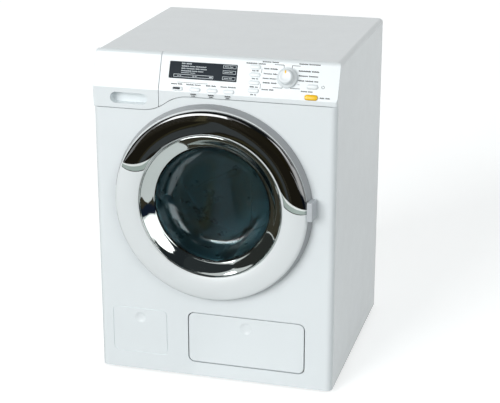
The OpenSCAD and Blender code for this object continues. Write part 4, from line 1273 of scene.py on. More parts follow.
@dataclass
class ControlPanel:
    """The leaning front with its display, keys and printing; x is across, v up the slope."""

    display_x: float = -8.4
    display_v: float = 16.0
    display_w: float = 51.3
    display_l: float = 12.4
    row_x: tuple[float, ...] = (-26.4, -13.1, -0.1, 12.5)
    row_v: float = 2.2
    column_x: float = 30.6
    column_v: tuple[float, ...] = (21.6, 16.0, 10.2, 4.4)
    key_w: float = 8.0
    key_h: float = 3.1
    glass: float = 0.2

    def build(self) -> None:
        """Make and dress every piece of the control panel."""
        dress(("control_panel", "panel_moulding", 0.25, WHITE_ABS, Body.HOUSING))
        self.display()
        self.option_keys()
        self.legends()
        dress(
            ("circuit_board", "panel_board", 0.12, BOARD, Body.HOUSING),
            ("rotary_switch", "dial_switch", 0.12, DARK_ABS, Body.HOUSING),
            ("button_switches", "key_switches", 0.12, DARK_ABS, Body.HOUSING),
            ("speaker", "loudspeaker", 0.12, DARK_ABS, Body.HOUSING),
        )

    def display(self) -> None:
        """The dark window with its pale read-out."""
        shape = bmesh.new()
        window = shrinking(rounded_box, self.display_w, self.display_l, 0.7, 4)
        matrix = LAYOUT.panel_matrix(self.display_x, self.display_v)
        offset_stack(window, self.glass, 0.12, -0.55).build(shape, matrix)
        ink = Printing(shape, self.glass, 1)
        buttons = (20.4, 16.4, 12.0)
        for left, right, up, parts, height in (
            (-24.8, -17.2, 20.9, (2, 3), 1.0), (-24.8, -6.0, 19.0, (3, 2, 4), 0.8),
            (-24.8, -5.6, 17.3, (2, 4, 2, 3), 0.8), (-24.8, -8.0, 15.6, (4, 2, 2), 0.8),
            (-24.8, -14.0, 14.2, (3, 2), 0.6), (-27.5, -24.5, 11.9, (1, 1), 0.6),
            (-16.0, -12.5, 11.9, (1, 1), 0.6), *((7.8, 14.0, up, (3, 2), 0.7) for up in buttons),
        ):
            ink.words(left, right, up, parts, height)
        ink.outlined((-30.4, -0.3, 10.8, 13.0), 0.35)
        ink.strip((-3.4, -1.2, 11.5, 12.3))
        for up in buttons:
            ink.outlined((6.6, 16.4, up - 1.25, up + 1.25), 0.3)
        piece = closed("display_read_out", shape)
        clad(piece, Body.HOUSING, ["display_window"], DISPLAY_FILM, PRINT_PALE)

    def option_keys(self) -> None:
        """The moulded keys under the display and beside the knob."""
        shape = bmesh.new()
        key = shrinking(pill, self.key_w, self.key_h)
        lens = shrinking(rounded_box, 5.4, 1.5, 0.4, 8)
        places = [(x, self.row_v) for x in self.row_x]
        places += [(self.column_x, v) for v in self.column_v]
        for across, up in places:
            offset_stack(key, 0.85, 0.4, 0.0, 0.12).build(shape, LAYOUT.panel_matrix(across, up))
        across, up = places[0]
        seat = LAYOUT.panel_matrix(across - 0.6, up + 0.2)
        offset_stack(lens, 1.05, 0.1, 0.5).build(shape, seat, 1)
        piece = closed("option_keys", shape, KEY_EDGE)
        clad(piece, Body.HOUSING, ["option_buttons"], WHITE_ABS, DISPLAY_FILM)

    def legends(self) -> None:
        """The grey printing round keys and knob."""
        ink = Printing(bmesh.new())
        ink.strip((-27.0, -4.0, 6.9, 7.15))
        for middle in (-14.0, -0.6, 12.0):
            ink.words(middle - 2.2, middle + 2.2, -1.2, (1,), 0.8)
            ink.words(middle - 1.4, middle + 1.4, -2.5, (1,), 0.7)
        for left, right, up in (
            (23.5, 38.0, 24.2), (28.2, 33.2, 19.0), (28.6, 33.4, 13.2), (27.6, 33.8, 7.2),
            (28.6, 33.0, 1.6),
        ):
            ink.words(left, right, up, height=0.9)
        for left, right, up, parts in (
            (-31.5, -23.0, 5.7, (4, 3)), (-20.0, -9.0, 5.7, (5, 4)), (-5.0, 2.5, 5.7, (3, 3)),
            (6.0, 17.5, 5.7, (4, 5)),
            (35.5, 47.5, 25.9, (4, 3)), (37.0, 47.0, 21.0, (3, 4)), (37.0, 46.6, 17.4, (5, 2)),
            (36.6, 46.2, 14.0, (3, 3)), (37.0, 47.0, 10.8, (4, 3)), (36.6, 45.5, 5.9, (3, 2)),
            (62.5, 78.0, 25.9, (4, 5)), (62.5, 77.5, 20.8, (5, 3)), (63.0, 77.0, 17.4, (4, 4)),
            (63.0, 77.5, 13.9, (3, 4, 2)), (65.5, 74.0, 6.4, (3, 2)), (79.6, 87.0, 2.4, (3, 3)),
        ):
            ink.words(left, right, up, parts)
        for left, right, up, end, drop in (
            (44.5, 51.5, 24.3, 51.5, -2.0), (44.5, 51.5, 7.7, 51.5, 1.8),
            (57.5, 63.5, 24.3, 57.5, -2.0), (57.5, 64.5, 8.0, 57.5, 1.8),
        ):
            ink.strip((left, right, up - ink.line / 2, up + ink.line / 2))
            low, high = sorted((up, up + drop))
            ink.strip((end - ink.line / 2, end + ink.line / 2, low, high))
        for low, high in ((17.6, 21.0), (6.0, 10.0)):
            ink.strip((35.2, 35.5, low, high))
        for left in (54.9 - 9.2, 54.9 + 7.6):
            for up in (20.9, 17.4, 14.0, 10.9):
                ink.strip((left, left + 1.6, up - ink.thin, up + ink.thin))
        ink.power_mark(81.2, 10.2, 1.15)
        clad(closed("panel_printing", ink.shape), Body.HOUSING, [], PRINT_DARK)


@dataclass
class Controls:
    """The knob and the two push buttons.

    Lengths that end in out or end are heights over the panel; a box is across, up, width and
    height.
    """

    knob_x: float = 54.9
    knob_v: float = 15.2
    cap_r: float = 5.4
    skirt_r: float = 7.4
    flutes: int = 26
    flute_depth: float = 0.14
    flute_low: float = 3.1
    flute_high: float = 8.3
    core_r: float = 2.0
    start: Box = (73.3, 2.3, 9.6, 3.8)
    power: Box = (73.6, 10.0, 8.0, 3.2)
    flange_out: float = -2.7
    stem_out: float = -3.7
    stem_end: float = -6.5
    stem_r: float = 1.4

    def build(self) -> None:
        """Make and dress knob and buttons."""
        self.knob()
        self.button("start_button", "start_cap", Body.START, self.start, 1.5, YELLOW_ABS)
        self.button("power_button", "power_cap", Body.POWER, self.power, 1.3, WHITE_ABS)

    def knob(self) -> None:
        """The knob with its fluted side, and its mark and spindle."""
        matrix = LAYOUT.panel_matrix(self.knob_x, self.knob_v)
        steps = self.flutes * 8
        outline = [
            (self.core_r, 0.4), (self.skirt_r - 0.3, 0.4), (self.skirt_r, 0.7), (self.skirt_r, 1.5),
            (self.skirt_r - 0.35, 2.2), (self.skirt_r - 1.1, 2.55), (self.cap_r + 0.55, 2.7),
            (self.cap_r + 0.15, 3.0), (self.cap_r + 0.02, 3.6), (self.cap_r - 0.12, 6.6),
            (self.cap_r - 0.25, 7.5), (self.cap_r - 0.6, 8.15), (self.cap_r - 1.1, 8.42),
            (self.cap_r - 1.7, 8.5), (3.4, 8.4), (self.core_r, 8.3),
        ]
        thing = lathe("knob_cap", outline, Matrix.Identity(4), steps)
        shape = bmesh.new()
        shape.from_mesh(thing.data)
        for vertex in shape.verts:
            reach, height = vertex.co.xy.length / MM, vertex.co.z / MM
            if self.flute_low < height < self.flute_high - 0.3 and reach > self.cap_r - 0.9:
                wave = math.cos(math.atan2(vertex.co.y, vertex.co.x) * self.flutes)
                fade = min(1.0, height - self.flute_low, self.flute_high - height)
                vertex.co.xy *= 1 - self.flute_depth * fade * max(0.0, wave) / reach
        core = {v for v in shape.verts if v.co.xy.length < (self.core_r + 0.1) * MM}
        walls = [face for face in shape.faces if core.issuperset(face.verts)]
        bmesh.ops.delete(shape, geom=walls, context="FACES")
        for upper in (True, False):
            ring = [v for v in core if (v.co.z > 4 * MM) == upper]
            bmesh.ops.contextual_create(shape, geom=ring)
        bmesh.ops.recalc_face_normals(shape, faces=shape.faces)
        shape.transform(matrix)
        shape.to_mesh(thing.data)
        shape.free()
        smooth(thing, ROUNDED)
        clad(thing, Body.KNOB, ["program_knob"], WHITE_ABS)
        mark = bmesh.new()
        seat = LAYOUT.panel_matrix(self.knob_x, self.knob_v + 3.2)
        bar = shrinking(rounded_box, 1.1, 2.3, 0.35, 4)
        offset_stack(bar, 8.6, 0.1, 7.9).build(mark, seat)
        clad(closed("knob_pointer", mark), Body.KNOB, ["knob_mark"], YELLOW_ABS)
        dress(("knob_spindle", "dial_spindle", 0.2, STEEL, Body.KNOB))

    def button(
        self, node: str, name: str, body: Body, place: Box, proud: float, finish: Finish
    ) -> None:
        """A push button: crowned cap, flange behind the panel and stem.

        Args:
            node: the solid that it stands for.
            name: the piece's name.
            body: the body that it is.
            place: across, up, width and height.
            proud: how far it stands out.
            finish: what it is made of.
        """
        across, up, width, height = place
        shape = bmesh.new()
        matrix = LAYOUT.panel_matrix(across, up)
        cap = shrinking(pill, width, height)
        offset_stack(cap, proud - 0.15, 0.45, self.flange_out, 0.15).build(shape, matrix)
        flange = pill(width + 2, height + 1.4)
        stem = [polar(self.stem_r, math.tau * k / 24) for k in range(24)]
        for outline, low, high in (
            (flange, self.stem_out, self.flange_out), (stem, self.stem_end, self.stem_out)
        ):
            Stack().add(outline, low).add(outline, high).build(shape, matrix)
        clad(closed(name, shape, KEY_EDGE), body, [node], finish)


# ---- detergent drawer


@dataclass
class DetergentDrawer:
    """Front with finger recess, tray, siphon and the housing that they slide in."""

    def build(self) -> None:
        """Make and dress every piece of the drawer."""
        dress(
            ("drawer_front", "drawer_moulding", 0.4, WHITE_ABS, Body.DETERGENT),
            ("drawer_tray", "drawer_bowls", 0.25, NATURAL_PP, Body.DETERGENT),
            ("tray_divider", "drawer_divider", 0.25, NATURAL_PP, Body.DETERGENT),
            ("siphon_cap", "drawer_siphon", 0.25, BLUE_PP, Body.DETERGENT),
            ("dispenser_housing", "drawer_housing", 0.25, NATURAL_PP, Body.HOUSING),
            ("fill_hose", "inlet_hose", 0.3, PVC_HOSE, Body.HOUSING),
        )


# ---- door


@dataclass
class Door:
    """The round door: shell, white ring, mirror trim, plated cone and smoked bowl.

    Radii are about the door's middle, heights over the upright front, angles in degrees.
    """

    ring_out: float = 74.2
    ring_low: float = 7.2
    ring_in: float = 55.2
    ring_middle: float = 63.98
    shoulder: float = 2.5
    crown: float = 10.9
    crown_r: float = 27.15
    flange_low: float = 0.6
    flange_top: float = 2.4
    glass_r: float = 45.0
    rim_r: float = 55.0
    bowl_floor_r: float = 30.0
    bowl_depth: float = 17.0
    glass_t: float = 1.8
    trim_step: float = 1.05
    trim_tilt: float = 10.0
    trim_end: Circle = (70.0, 44.0, 26.2)
    lip_end: Circle = (64.5, 31.9, 19.2)
    trim_in: float = 56.4
    trim_out: float = 73.4
    trim_shift: float = 0.6
    trim_edge: float = 0.22
    trim_sink: float = -0.25
    lip_stop: float = 39.0
    lip_foot: float = 0.1
    lip_steps: int = 60
    lip_rows: int = 10
    screw_r: float = 55.0

    def face(self, radius: float) -> float:
        """Height of the ring's face: crowned, and rounded off at the outside.

        Args:
            radius: where the height is wanted.

        Returns:
            The height over the upright front.
        """
        def crowned(size: float) -> float:
            """Height of the crown alone."""
            across = size - self.ring_middle
            return self.crown - self.crown_r + math.sqrt(self.crown_r ** 2 - across ** 2)

        past = (radius - self.ring_out + self.shoulder) / self.shoulder
        if past <= 0:
            return crowned(radius)
        drop = crowned(self.ring_out) - self.ring_low
        return crowned(radius) - drop * (1 - math.sqrt(max(0.0, 1 - past ** 2)))

    def face_line(self, start: float, end: float, lift: float, steps: int) -> list[Point2]:
        """Points along the crowned face.

        Args:
            start: first radius.
            end: last radius.
            lift: distance over the face.
            steps: number of pieces.

        Returns:
            Radius and height of each point.
        """
        radii = [start + (end - start) * k / steps for k in range(steps + 1)]
        return [(radius, self.face(radius) + lift) for radius in radii]

    def build(self) -> None:
        """Make and dress every piece of the door."""
        self.shell()
        self.white_ring()
        self.mirror_trim()
        self.plated_cone()
        self.bowl()
        dress(("door_back_ring", "door_inner_ring", 0.3, SATIN_ABS, Body.DOOR))
        self.grip()
        self.screws()

    def shell(self) -> None:
        """The silver-grey housing, up to where the ring laps over its lip."""
        shell = from_solid("door_shell", "door_housing", 0.0)
        shape = bmesh.new()
        shape.from_mesh(shell.data)
        matrix = LAYOUT.door_matrix()
        cut = bmesh.ops.bisect_plane(
            shape, geom=shape.verts[:] + shape.edges[:] + shape.faces[:], dist=TINY,
            plane_co=matrix @ (UPRIGHT * ((self.ring_low + 0.1) * MM)),
            plane_no=matrix.to_3x3() @ UPRIGHT, clear_outer=True,
        )["geom_cut"]
        edges = [item for item in cut if isinstance(item, bmesh.types.BMEdge)]
        bmesh.ops.triangle_fill(shape, edges=edges, use_beauty=True)
        bmesh.ops.recalc_face_normals(shape, faces=shape.faces)
        shape.to_mesh(shell.data)
        shape.free()
        smooth(shell)
        clad(shell, Body.DOOR, ["door_shell"], SILVER_ABS)

    def grip(self) -> None:
        """The block to pull the door by, beside the ring's edge."""
        grip = from_solid("door_grip", "door_handle", 0.0)
        for vertex in grip.data.vertices:
            vertex.co.x = max(vertex.co.x, (self.ring_out - 0.3) * MM)
        soften(grip, 0.5, 3)
        clad(grip, Body.DOOR, ["door_grip"], GRIP_ABS)

    def white_ring(self) -> None:
        """The broad white ring, crowned across."""
        edge, inner = 0.35, self.ring_in
        start = self.ring_out - self.shoulder
        bends = [math.sin(math.radians(angle)) for angle in range(6, 96, 6)]
        outline = (
            [(inner, self.face(inner) - edge), (inner + 0.12, self.face(inner + 0.12) - 0.1)]
            + self.face_line(inner + edge, start, 0.0, 18)
            + [(start + self.shoulder * bend, self.face(start + self.shoulder * bend))
               for bend in bends]
            + [(self.ring_out - 0.3, self.ring_low - 0.12), (70.4, self.ring_low)]
            + self.face_line(70.3, 57.4, -1.6, 10)
            + [(57.4, self.flange_top), (inner, self.flange_top)]
        )
        ring = lathe("door_white_ring", outline, LAYOUT.door_matrix())
        clad(ring, Body.DOOR, ["door_ring"], PEARL_ABS)

    def lobe(self, end: Circle) -> list[Point2]:
        """Lower edge of a lobe of the trim, from the ring's outside inwards.

        Args:
            end: the circle that the lobe's end follows.

        Returns:
            Points at equal steps along the edge.
        """
        across, up, radius = end
        reach, bearing = math.hypot(across, up), math.atan2(up, across)
        near = max(reach - radius, self.trim_in)

        def turned(size: float) -> float:
            """Angle about the lobe's centre where its circle is at this radius of the door."""
            cosine = (reach ** 2 + radius ** 2 - size ** 2) / (2 * reach * radius)
            return math.acos(max(-1.0, min(1.0, cosine)))

        start, last = turned(self.trim_out), turned(near)
        line, fine = [], 40
        for k in range(fine + 1):
            x, y = polar(radius, bearing - math.pi + start + (last - start) * k / fine)
            line.append((across + x, up + y))
        first = math.atan2(line[-1][1], line[-1][0])
        for k in range(1, fine + 1):
            part = k / fine
            size = near + (self.trim_in - near) * part ** 2
            line.append(polar(size, first + (math.radians(self.lip_stop) - first) * part))
        return evenly(line, self.lip_steps)

    def trim_top(self, radius: float, inner: float) -> float:
        """Height of the trim's top over the ring's face, rounded towards its edges.

        Args:
            radius: where the height is wanted.
            inner: radius of a rounded inner edge, or 0 for none.

        Returns:
            The height.
        """
        away = min(self.trim_out - radius, radius - inner)
        if away >= self.trim_edge:
            return self.trim_step
        sunk = self.trim_edge - max(away, 0.0)
        return self.trim_step - self.trim_edge + math.sqrt(self.trim_edge ** 2 - sunk ** 2)

    def mirror_trim(self) -> None:
        """The dark mirror over the top of the ring, with a sloped lip at each end, painted pale as
        a reflection, with a painted highlight along its top.
        """
        upper, lower = self.lobe(self.trim_end), self.lobe(self.lip_end)
        shape = bmesh.new()
        edges = [0.0, 0.07, self.trim_edge]
        stop, round_steps, rows_across = math.radians(self.lip_stop), 90, 10
        crown = [polar(self.trim_in, stop + (math.pi - 2 * stop) * k / round_steps)
                 for k in range(1, round_steps)]
        rows = []
        for x, y in upper + crown + [(-x, y) for x, y in reversed(upper)]:
            inside, angle = math.hypot(x, y), math.atan2(y, x)
            rounded = self.trim_in if (x, y) in crown else 0.0
            room = self.trim_out - inside
            radii = [inside + min(step, room / 4) for step in edges]
            radii += [radii[-1] + (room - radii[-1] - edges[-1] + inside) * k / rows_across
                      for k in range(1, rows_across)]
            radii += [self.trim_out - min(step, room / 4) for step in reversed(edges)]
            rows.append([(*polar(size, angle), self.trim_top(size, rounded)) for size in radii])
        sheet(shape, rows, 0)
        for side in (1, -1):
            rows = []
            for k in range(self.lip_rows + 1):
                part = k / self.lip_rows
                rise = 0.35 * part + 0.65 * part ** 2
                height = self.lip_foot + (self.trim_step - self.lip_foot) * rise
                rows.append([
                    (side * (a[0] + (b[0] - a[0]) * part), a[1] + (b[1] - a[1]) * part, height)
                    for a, b in zip(lower, upper)
                ])
            # The lip's foot in the dark mirror, its slope the painted reflection, its top rows the
            # painted highlight.
            for number, band in enumerate((rows[:2], rows[1:-3], rows[-4:])):
                sheet(shape, band, number)
        bmesh.ops.remove_doubles(shape, verts=shape.verts, dist=SEAM)
        bmesh.ops.dissolve_degenerate(shape, edges=shape.edges, dist=TINY)
        thicken(shape, self.trim_sink)
        shape.transform(
            Matrix.Translation((self.trim_shift * MM, 0, 0))
            @ Matrix.Rotation(math.radians(-self.trim_tilt), 4, "Z")
        )
        for vertex in shape.verts:
            vertex.co.z += self.face(vertex.co.xy.length / MM) * MM
        shape.transform(LAYOUT.door_matrix())
        trim = crisp(smooth(mesh_object("door_mirror_trim", shape), ROUNDED))
        clad(trim, Body.DOOR, ["door_trim"], BLACK_PLATE, LIP_PAINTED_REFLECTION, LIP_PAINTED_HIGHLIGHT)

    def plated_cone(self) -> None:
        """The bright cone between ring and bowl, with a bead at its outer edge."""
        outline = [
            (self.glass_r, self.flange_top), (self.glass_r, 2.75), (self.glass_r + 0.25, 3.0),
            (self.glass_r + 0.7, 3.25), (47.0, 4.05), (49.0, 5.7), (51.0, 7.25), (52.6, 8.35),
            (53.5, 8.85), (53.8, 9.05), (53.95, 9.55), (54.15, 9.95), (54.45, 10.15),
            (54.75, 10.05), (54.98, 9.75), (self.rim_r, 9.3), (self.rim_r, self.flange_top),
            (54.6, self.flange_top), (54.4, 7.0), (46.8, self.flange_top),
        ]
        cone = lathe("door_plated_cone", outline, LAYOUT.door_matrix())
        clad(cone, Body.DOOR, ["door_rim"], BRIGHT_PLATE)

    def bowl_side(self, radius: float, height: float, depth: float) -> list[Point2]:
        """Side of the bowl from its mouth to its floor.

        Args:
            radius: radius at the mouth.
            height: height of the mouth.
            depth: depth of the floor.

        Returns:
            Radius and height of each point.
        """
        points = []
        steps, belly, drop = 16, 0.85, 1.1
        for k in range(steps + 1):
            angle = math.radians(90 * k / steps)
            points.append((
                self.bowl_floor_r + (radius - self.bowl_floor_r) * math.cos(angle) ** belly,
                height - (height + depth) * math.sin(angle) ** drop,
            ))
        return points

    def bowl(self) -> None:
        """The smoked clear bowl, with a slightly domed floor."""
        mouth, brim = self.glass_r - 1, self.flange_low + 0.3
        inside = self.bowl_side(mouth, self.flange_top, self.bowl_depth - self.glass_t)
        outside = self.bowl_side(mouth + self.glass_t, brim, self.bowl_depth)
        dome = [(r, 1.2 * (1 - (r / self.bowl_floor_r) ** 2) - self.bowl_depth)
                for r in (24.0, 16.0, 8.0, 0.0)]
        outline = inside + [(r, height + self.glass_t) for r, height in dome]
        outline += dome[::-1] + outside[::-1] + [(51.4, brim), (51.4, self.flange_top)]
        glass = lathe("door_bowl", outline, LAYOUT.door_matrix())
        clad(glass, Body.DOOR, ["door_glass", "glass_floor"], SMOKED_CLEAR)

    def screws(self) -> None:
        """Six screws that hold the inner ring."""
        places = [
            LAYOUT.door_matrix() @ (Vector((*polar(self.screw_r, math.radians(a)), -1.2)) * MM)
            for a in range(30, 390, 60)
        ]
        screwed(
            "door_screws", "door_ring_screws", Body.DOOR, places, Head_Radius=2.0,
            Head_Height=0.9, Recess_Width=0.5, Shank_Radius=1.15, Shank_Length=3.4,
        )


@dataclass
class HingeAndLatch:
    """What the door hangs on and closes against."""

    def build(self) -> None:
        """Make and dress bracket, pin and keeper."""
        dress(
            ("hinge_bracket", "hinge_plate", 0.2, SHEET, Body.HOUSING),
            ("hinge_pin", "hinge_axle", 0.15, STEEL, Body.HOUSING),
            ("latch_keeper", "latch_box", 0.3, NATURAL_PP, Body.HOUSING),
        )


# ---- drum and drive


@dataclass
class WashGroup:
    """Gasket, tub and drum."""

    tub_hole_r: float = 71.5
    ear_y: float = -76.6

    def build(self) -> None:
        """Make and dress every piece of the wash group."""
        dress(
            ("tub", "wash_tub", 0.3, NATURAL_PP, Body.HOUSING),
            ("shaft_bush", "shaft_bearing", 0.15, SINTERED, Body.HOUSING),
            ("door_gasket", "mouth_gasket", 0.4, RUBBER, Body.HOUSING),
            ("drum", "wash_drum", 0.2, DRUM_ABS, Body.DRUM),
            ("drum_front", "wash_drum_mouth", 0.3, DRUM_ABS, Body.DRUM),
            ("drum_back", "wash_drum_back", 0.3, DRUM_ABS, Body.DRUM),
            ("drum_lifters", "wash_lifters", 0.6, DRUM_ABS, Body.DRUM),
            ("drum_shaft", "wash_shaft", 0.3, STEEL, Body.DRUM),
            ("drum_gear", "wash_gear", 0.12, ACETAL, Body.DRUM),
        )
        places = []
        for degrees in (38, 142, 218, 322):
            across, up = polar(self.tub_hole_r, math.radians(degrees))
            places.append(Vector((across, self.ear_y, LAYOUT.door_z + up)) * MM)
        screwed(
            "tub_screws", "tub_ear_screws", Body.HOUSING, places, Head_Radius=2.8,
            Head_Height=1.0, Recess_Width=0.6, Shank_Length=4.6,
        )


@dataclass
class Drive:
    """Gears, motor and cover."""

    def build(self) -> None:
        """Make and dress every piece of the drive."""
        dress(
            ("idler_gear", "reduction_gear", 0.12, ACETAL, Body.IDLER),
            ("idler_pin", "reduction_pin", 0.1, STEEL, Body.HOUSING),
            ("motor_pinion", "drive_pinion", 0.1, BRASS, Body.PINION),
            ("motor_shaft", "drive_shaft", 0.1, STEEL, Body.PINION),
            ("motor", "drive_motor", 0.5, MOTOR_CAN, Body.HOUSING),
            ("gear_cover", "drive_cover", 0.4, NATURAL_PP, Body.HOUSING),
        )


@dataclass
class WaterTank:
    """The drawer that collects water, and its runners."""

    def build(self) -> None:
        """Make and dress every piece of the tank."""
        dress(
            ("tank_front", "tank_flap", 0.35, WHITE_ABS, Body.TANK),
            ("water_tank", "tank_box", 0.35, FROSTED_PP, Body.TANK),
            ("tank_runners", "tank_guides", 0.3, NATURAL_PP, Body.HOUSING),
            ("drain_spout", "drain_hose", 0.3, PVC_HOSE, Body.HOUSING),
        )


@dataclass
class BatteryBay:
    """Cells, contacts and cover at the back."""

    screw_z: float = 69.1

    def build(self) -> None:
        """Make and dress every piece of the battery bay."""
        dress(
            ("battery_box", "cell_case", 0.3, SATIN_ABS, Body.HOUSING),
            ("batteries", "dry_cells", 0.6, CELL_WRAP, Body.HOUSING),
            ("battery_contacts", "cell_contacts", 0.1, SHEET, Body.HOUSING),
            ("battery_cover", "cell_cover", 0.3, SATIN_ABS, Body.HOUSING),
        )
        place = Vector((0, LAYOUT.back_y, self.screw_z)) * MM
        screwed(
            "cover_screw", "cell_cover_screw", Body.HOUSING, [place], Head_Radius=2.0,
            Head_Height=0.9, Recess_Width=0.5, Shank_Radius=1.13, Shank_Length=3.2,
        )


# ---- studio


DOOR_SPOT = (0.0, -0.09, 0.15)  # metres: what the large cards face
SLANT = -15.4  # degrees: the narrow cards run along the line of sight


def rectangle(width: float, height: float) -> Shape:
    """A flat rectangle about the origin that faces up.

    Args:
        width: its size along x, in metres.
        height: its size along y, in metres.

    Returns:
        Its mesh.
    """
    shape = bmesh.new()
    signs = ((-1, -1), (1, -1), (1, 1), (-1, 1))
    corners = [shape.verts.new((x * width / 2, y * height / 2, 0)) for x, y in signs]
    shape.faces.new(corners)
    return shape


@dataclass(frozen=True)
class Card:
    """A glowing board that only mirrors see: a painted reflection that gives plated parts their
    contrast.

    Attributes:
        name: the board's name.
        middle: where its middle is, in metres.
        size: width and height in metres.
        colour: sRGB hex.
        faces: the point that it faces, in metres; without one it faces up.
        level: strength of its glow, above 1 for a bright window.
        turn: degrees by which it is turned about its own normal.
    """

    name: str
    middle: Point3
    size: Point2
    colour: str
    faces: Point3 | None = None
    level: float = 1.0
    turn: float = 0.0


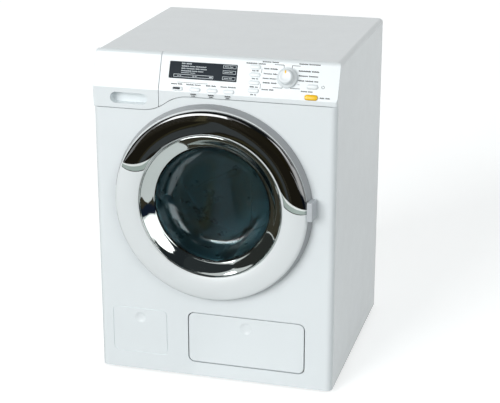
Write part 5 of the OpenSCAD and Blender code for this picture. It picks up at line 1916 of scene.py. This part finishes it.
@dataclass
class Studio:
    """Floor, soft lamps, room, mirrored cards and camera."""

    camera_at: Point3 = (286.1, -1010.6, 482.3)
    azimuth: float = 15.5
    elevation: float = 19.0
    focal_px: float = 1384.3
    image_px: float = 500.0
    floor_side: float = 6.0
    room_level: float = 0.4
    floor_glow: float = 0.6
    aim_height: float = 0.13
    cards: tuple[Card, ...] = (
        Card("card_over", (-0.45, -0.95, 1.9), (2.3, 1.6), "3a3f41", DOOR_SPOT),
        Card("card_left", (-1.85, -0.3, 0.85), (2.0, 2.4), "3a3c3a", DOOR_SPOT),
        Card("card_front", (-1.1, -2.2, 0.42), (1.7, 0.84), "565041", (-1.1, 0.0, 0.42)),
        Card("card_tall", (0.4, -2.2, 0.55), (1.3, 1.1), "4a4536", (0.4, 0.0, 0.55)),
        Card("card_beam", (-0.66, -2.1, 0.4), (0.1, 0.8), "8a8263", (-0.66, 0.0, 0.4)),
        Card("card_frame", (0.34, -2.1, 0.42), (0.16, 0.84), "40391f", (0.34, 0.0, 0.42)),
        Card("card_under", (-0.86, 0.0, 0.003), (1.68, 0.7), "4a463b"),
        Card("card_near", (-0.66, -1.28, 0.003), (2.08, 1.86), "443f33"),
        Card("strip_olive", (-0.36, -1.24, 0.006), (0.014, 2.1), "74704f", turn=SLANT),
        Card("strip_grey", (-0.32, -1.24, 0.005), (0.05, 2.1), "7f8789", turn=SLANT),
        Card("strip_brown", (-0.275, -1.24, 0.006), (0.012, 2.1), "6c6650", turn=SLANT),
        Card("strip_pale", (-0.255, -1.24, 0.006), (0.004, 2.1), "b9b49d", turn=SLANT),
        Card("card_right", (0.76, -0.62, 0.005), (0.8, 0.95), "1c2638"),
        Card("card_high", (1.2, -1.75, 1.75), (2.7, 2.3), "2f3437", DOOR_SPOT),
        Card("card_window", (1.25, -1.05, 0.36), (1.1, 0.66), "ffffff", (0.0, -0.09, 0.36), 2.2),
    )

    def build(self) -> None:
        """Set up floor, light and camera."""
        self.floor()
        self.surroundings()
        for card in self.cards:
            self.board(card)
        self.lamp("key", (-1.15, -2.45, 0.98), 1.6, 48.5)
        self.lamp("window", (1.35, -1.55, 1.15), 0.8, 6.0)
        self.lamp("back", (-0.5, 2.6, 0.5), 1.4, 16.0).visible_glossy = False
        self.camera()

    def seen(self, tree: Tree) -> Socket:
        """Tell the rays that see a thing from those that light the machine.

        Args:
            tree: the tree of the material or world that asks.

        Returns:
            1 for rays from the eye, off a mirror or through glass, else 0.
        """
        rays = add_node(tree, "ShaderNodeLightPath").outputs
        found = rays["Is Camera Ray"]
        for kind in ("Is Glossy Ray", "Is Transmission Ray"):
            found = add_node(
                tree, "ShaderNodeMath", {"operation": "MAXIMUM"}, {0: found, 1: rays[kind]}
            ).outputs[0]
        return found

    def floor(self) -> None:
        """A pale floor that keeps the shadow and reads white from afar."""
        made = bpy.data.materials.new("painted_floor_pale")
        tree = bare_tree(made)
        matte = add_node(
            tree, "ShaderNodeBsdfDiffuse", {"Color": linear("d4d7d7"), "Roughness": 0.8}
        )
        strength = add_node(
            tree, "ShaderNodeMath", {"operation": "MULTIPLY", 1: self.floor_glow},
            {0: self.seen(tree)},
        )
        glow = add_node(
            tree, "ShaderNodeEmission", {"Color": (1, 1, 1, 1)},
            {"Strength": strength.outputs[0]},
        )
        both = add_node(
            tree, "ShaderNodeAddShader",
            links={0: matte.outputs["BSDF"], 1: glow.outputs["Emission"]},
        )
        add_node(tree, "ShaderNodeOutputMaterial", links={"Surface": both.outputs[0]})
        floor = mesh_object("studio_floor", rectangle(self.floor_side, self.floor_side))
        floor.data.materials.append(made)

    def surroundings(self) -> None:
        """A white room, which lights the machine at a lower, plain level."""
        world = bpy.data.worlds.new("studio_room")
        bpy.context.scene.world = world
        tree = bare_tree(world)
        even = add_node(tree, "ShaderNodeBackground",
                        {"Color": linear("f3f6f7"), "Strength": self.room_level})
        white = add_node(tree, "ShaderNodeBackground", {"Color": (1, 1, 1, 1), "Strength": 1.0})
        room = add_node(tree, "ShaderNodeMixShader", links={
            0: self.seen(tree), 1: even.outputs[0], 2: white.outputs[0]})
        add_node(tree, "ShaderNodeOutputWorld", links={"Surface": room.outputs[0]})

    def board(self, card: Card) -> None:
        """Hang one card.

        Args:
            card: its place, size and colour.
        """
        shape = rectangle(*card.size)
        aim = Vector(card.faces) - Vector(card.middle) if card.faces else UPRIGHT
        facing = aim.to_track_quat("Z", "Y").to_matrix().to_4x4()
        shape.transform(
            Matrix.Translation(card.middle) @ facing
            @ Matrix.Rotation(math.radians(card.turn), 4, "Z")
        )
        made = bpy.data.materials.new("card_" + card.colour)
        tree = bare_tree(made)
        paint = add_node(
            tree, "ShaderNodeEmission", {"Color": linear(card.colour), "Strength": card.level}
        )
        add_node(tree, "ShaderNodeOutputMaterial", links={"Surface": paint.outputs[0]})
        thing = mesh_object(card.name, shape)
        thing.data.materials.append(made)
        thing.visible_camera = thing.visible_diffuse = thing.visible_shadow = False

    def lamp(self, name: str, place: Point3, size: float, power: float) -> Thing:
        """A square soft lamp that faces the machine's middle.

        Args:
            name: the lamp's name.
            place: where it hangs, in metres.
            size: its side in metres.
            power: its power in watts.

        Returns:
            The lamp.
        """
        light = bpy.data.lights.new(name, "AREA")
        light.shape = "SQUARE"
        light.size = size
        light.energy = power
        thing = linked(name, light)
        thing.location = place
        aim = UPRIGHT * self.aim_height - Vector(place)
        thing.rotation_euler = aim.to_track_quat("-Z", "Y").to_euler()
        return thing

    def camera(self) -> None:
        """The camera, level and at the viewing angle."""
        data = bpy.data.cameras.new("view")
        data.sensor_fit = "HORIZONTAL"
        data.sensor_width = 36.0
        data.lens = self.focal_px / self.image_px * data.sensor_width
        data.clip_start = 0.05
        thing = linked("view", data)
        azimuth, elevation = math.radians(self.azimuth), math.radians(self.elevation)
        back = Vector((
            math.sin(azimuth) * math.cos(elevation),
            -math.cos(azimuth) * math.cos(elevation),
            math.sin(elevation),
        ))
        thing.location = Vector(self.camera_at) * MM
        thing.rotation_euler = back.to_track_quat("Z", "Y").to_euler()
        bpy.context.scene.camera = thing


def main() -> None:
    """Build the machine, sub-assembly by sub-assembly, and its studio."""
    logging.basicConfig(level=logging.INFO, format="%(name)s: %(message)s", stream=sys.stdout)
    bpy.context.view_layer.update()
    for group in (
        Casing(), ControlPanel(), Controls(), DetergentDrawer(), Door(), HingeAndLatch(),
        WashGroup(), Drive(), WaterTank(), BatteryBay(),
    ):
        LOG.info("building %s", type(group).__name__)
        group.build()
    scene = bpy.context.scene
    scene.view_settings.view_transform = "Standard"
    Studio().build()


if __name__ == "__main__":
    main()
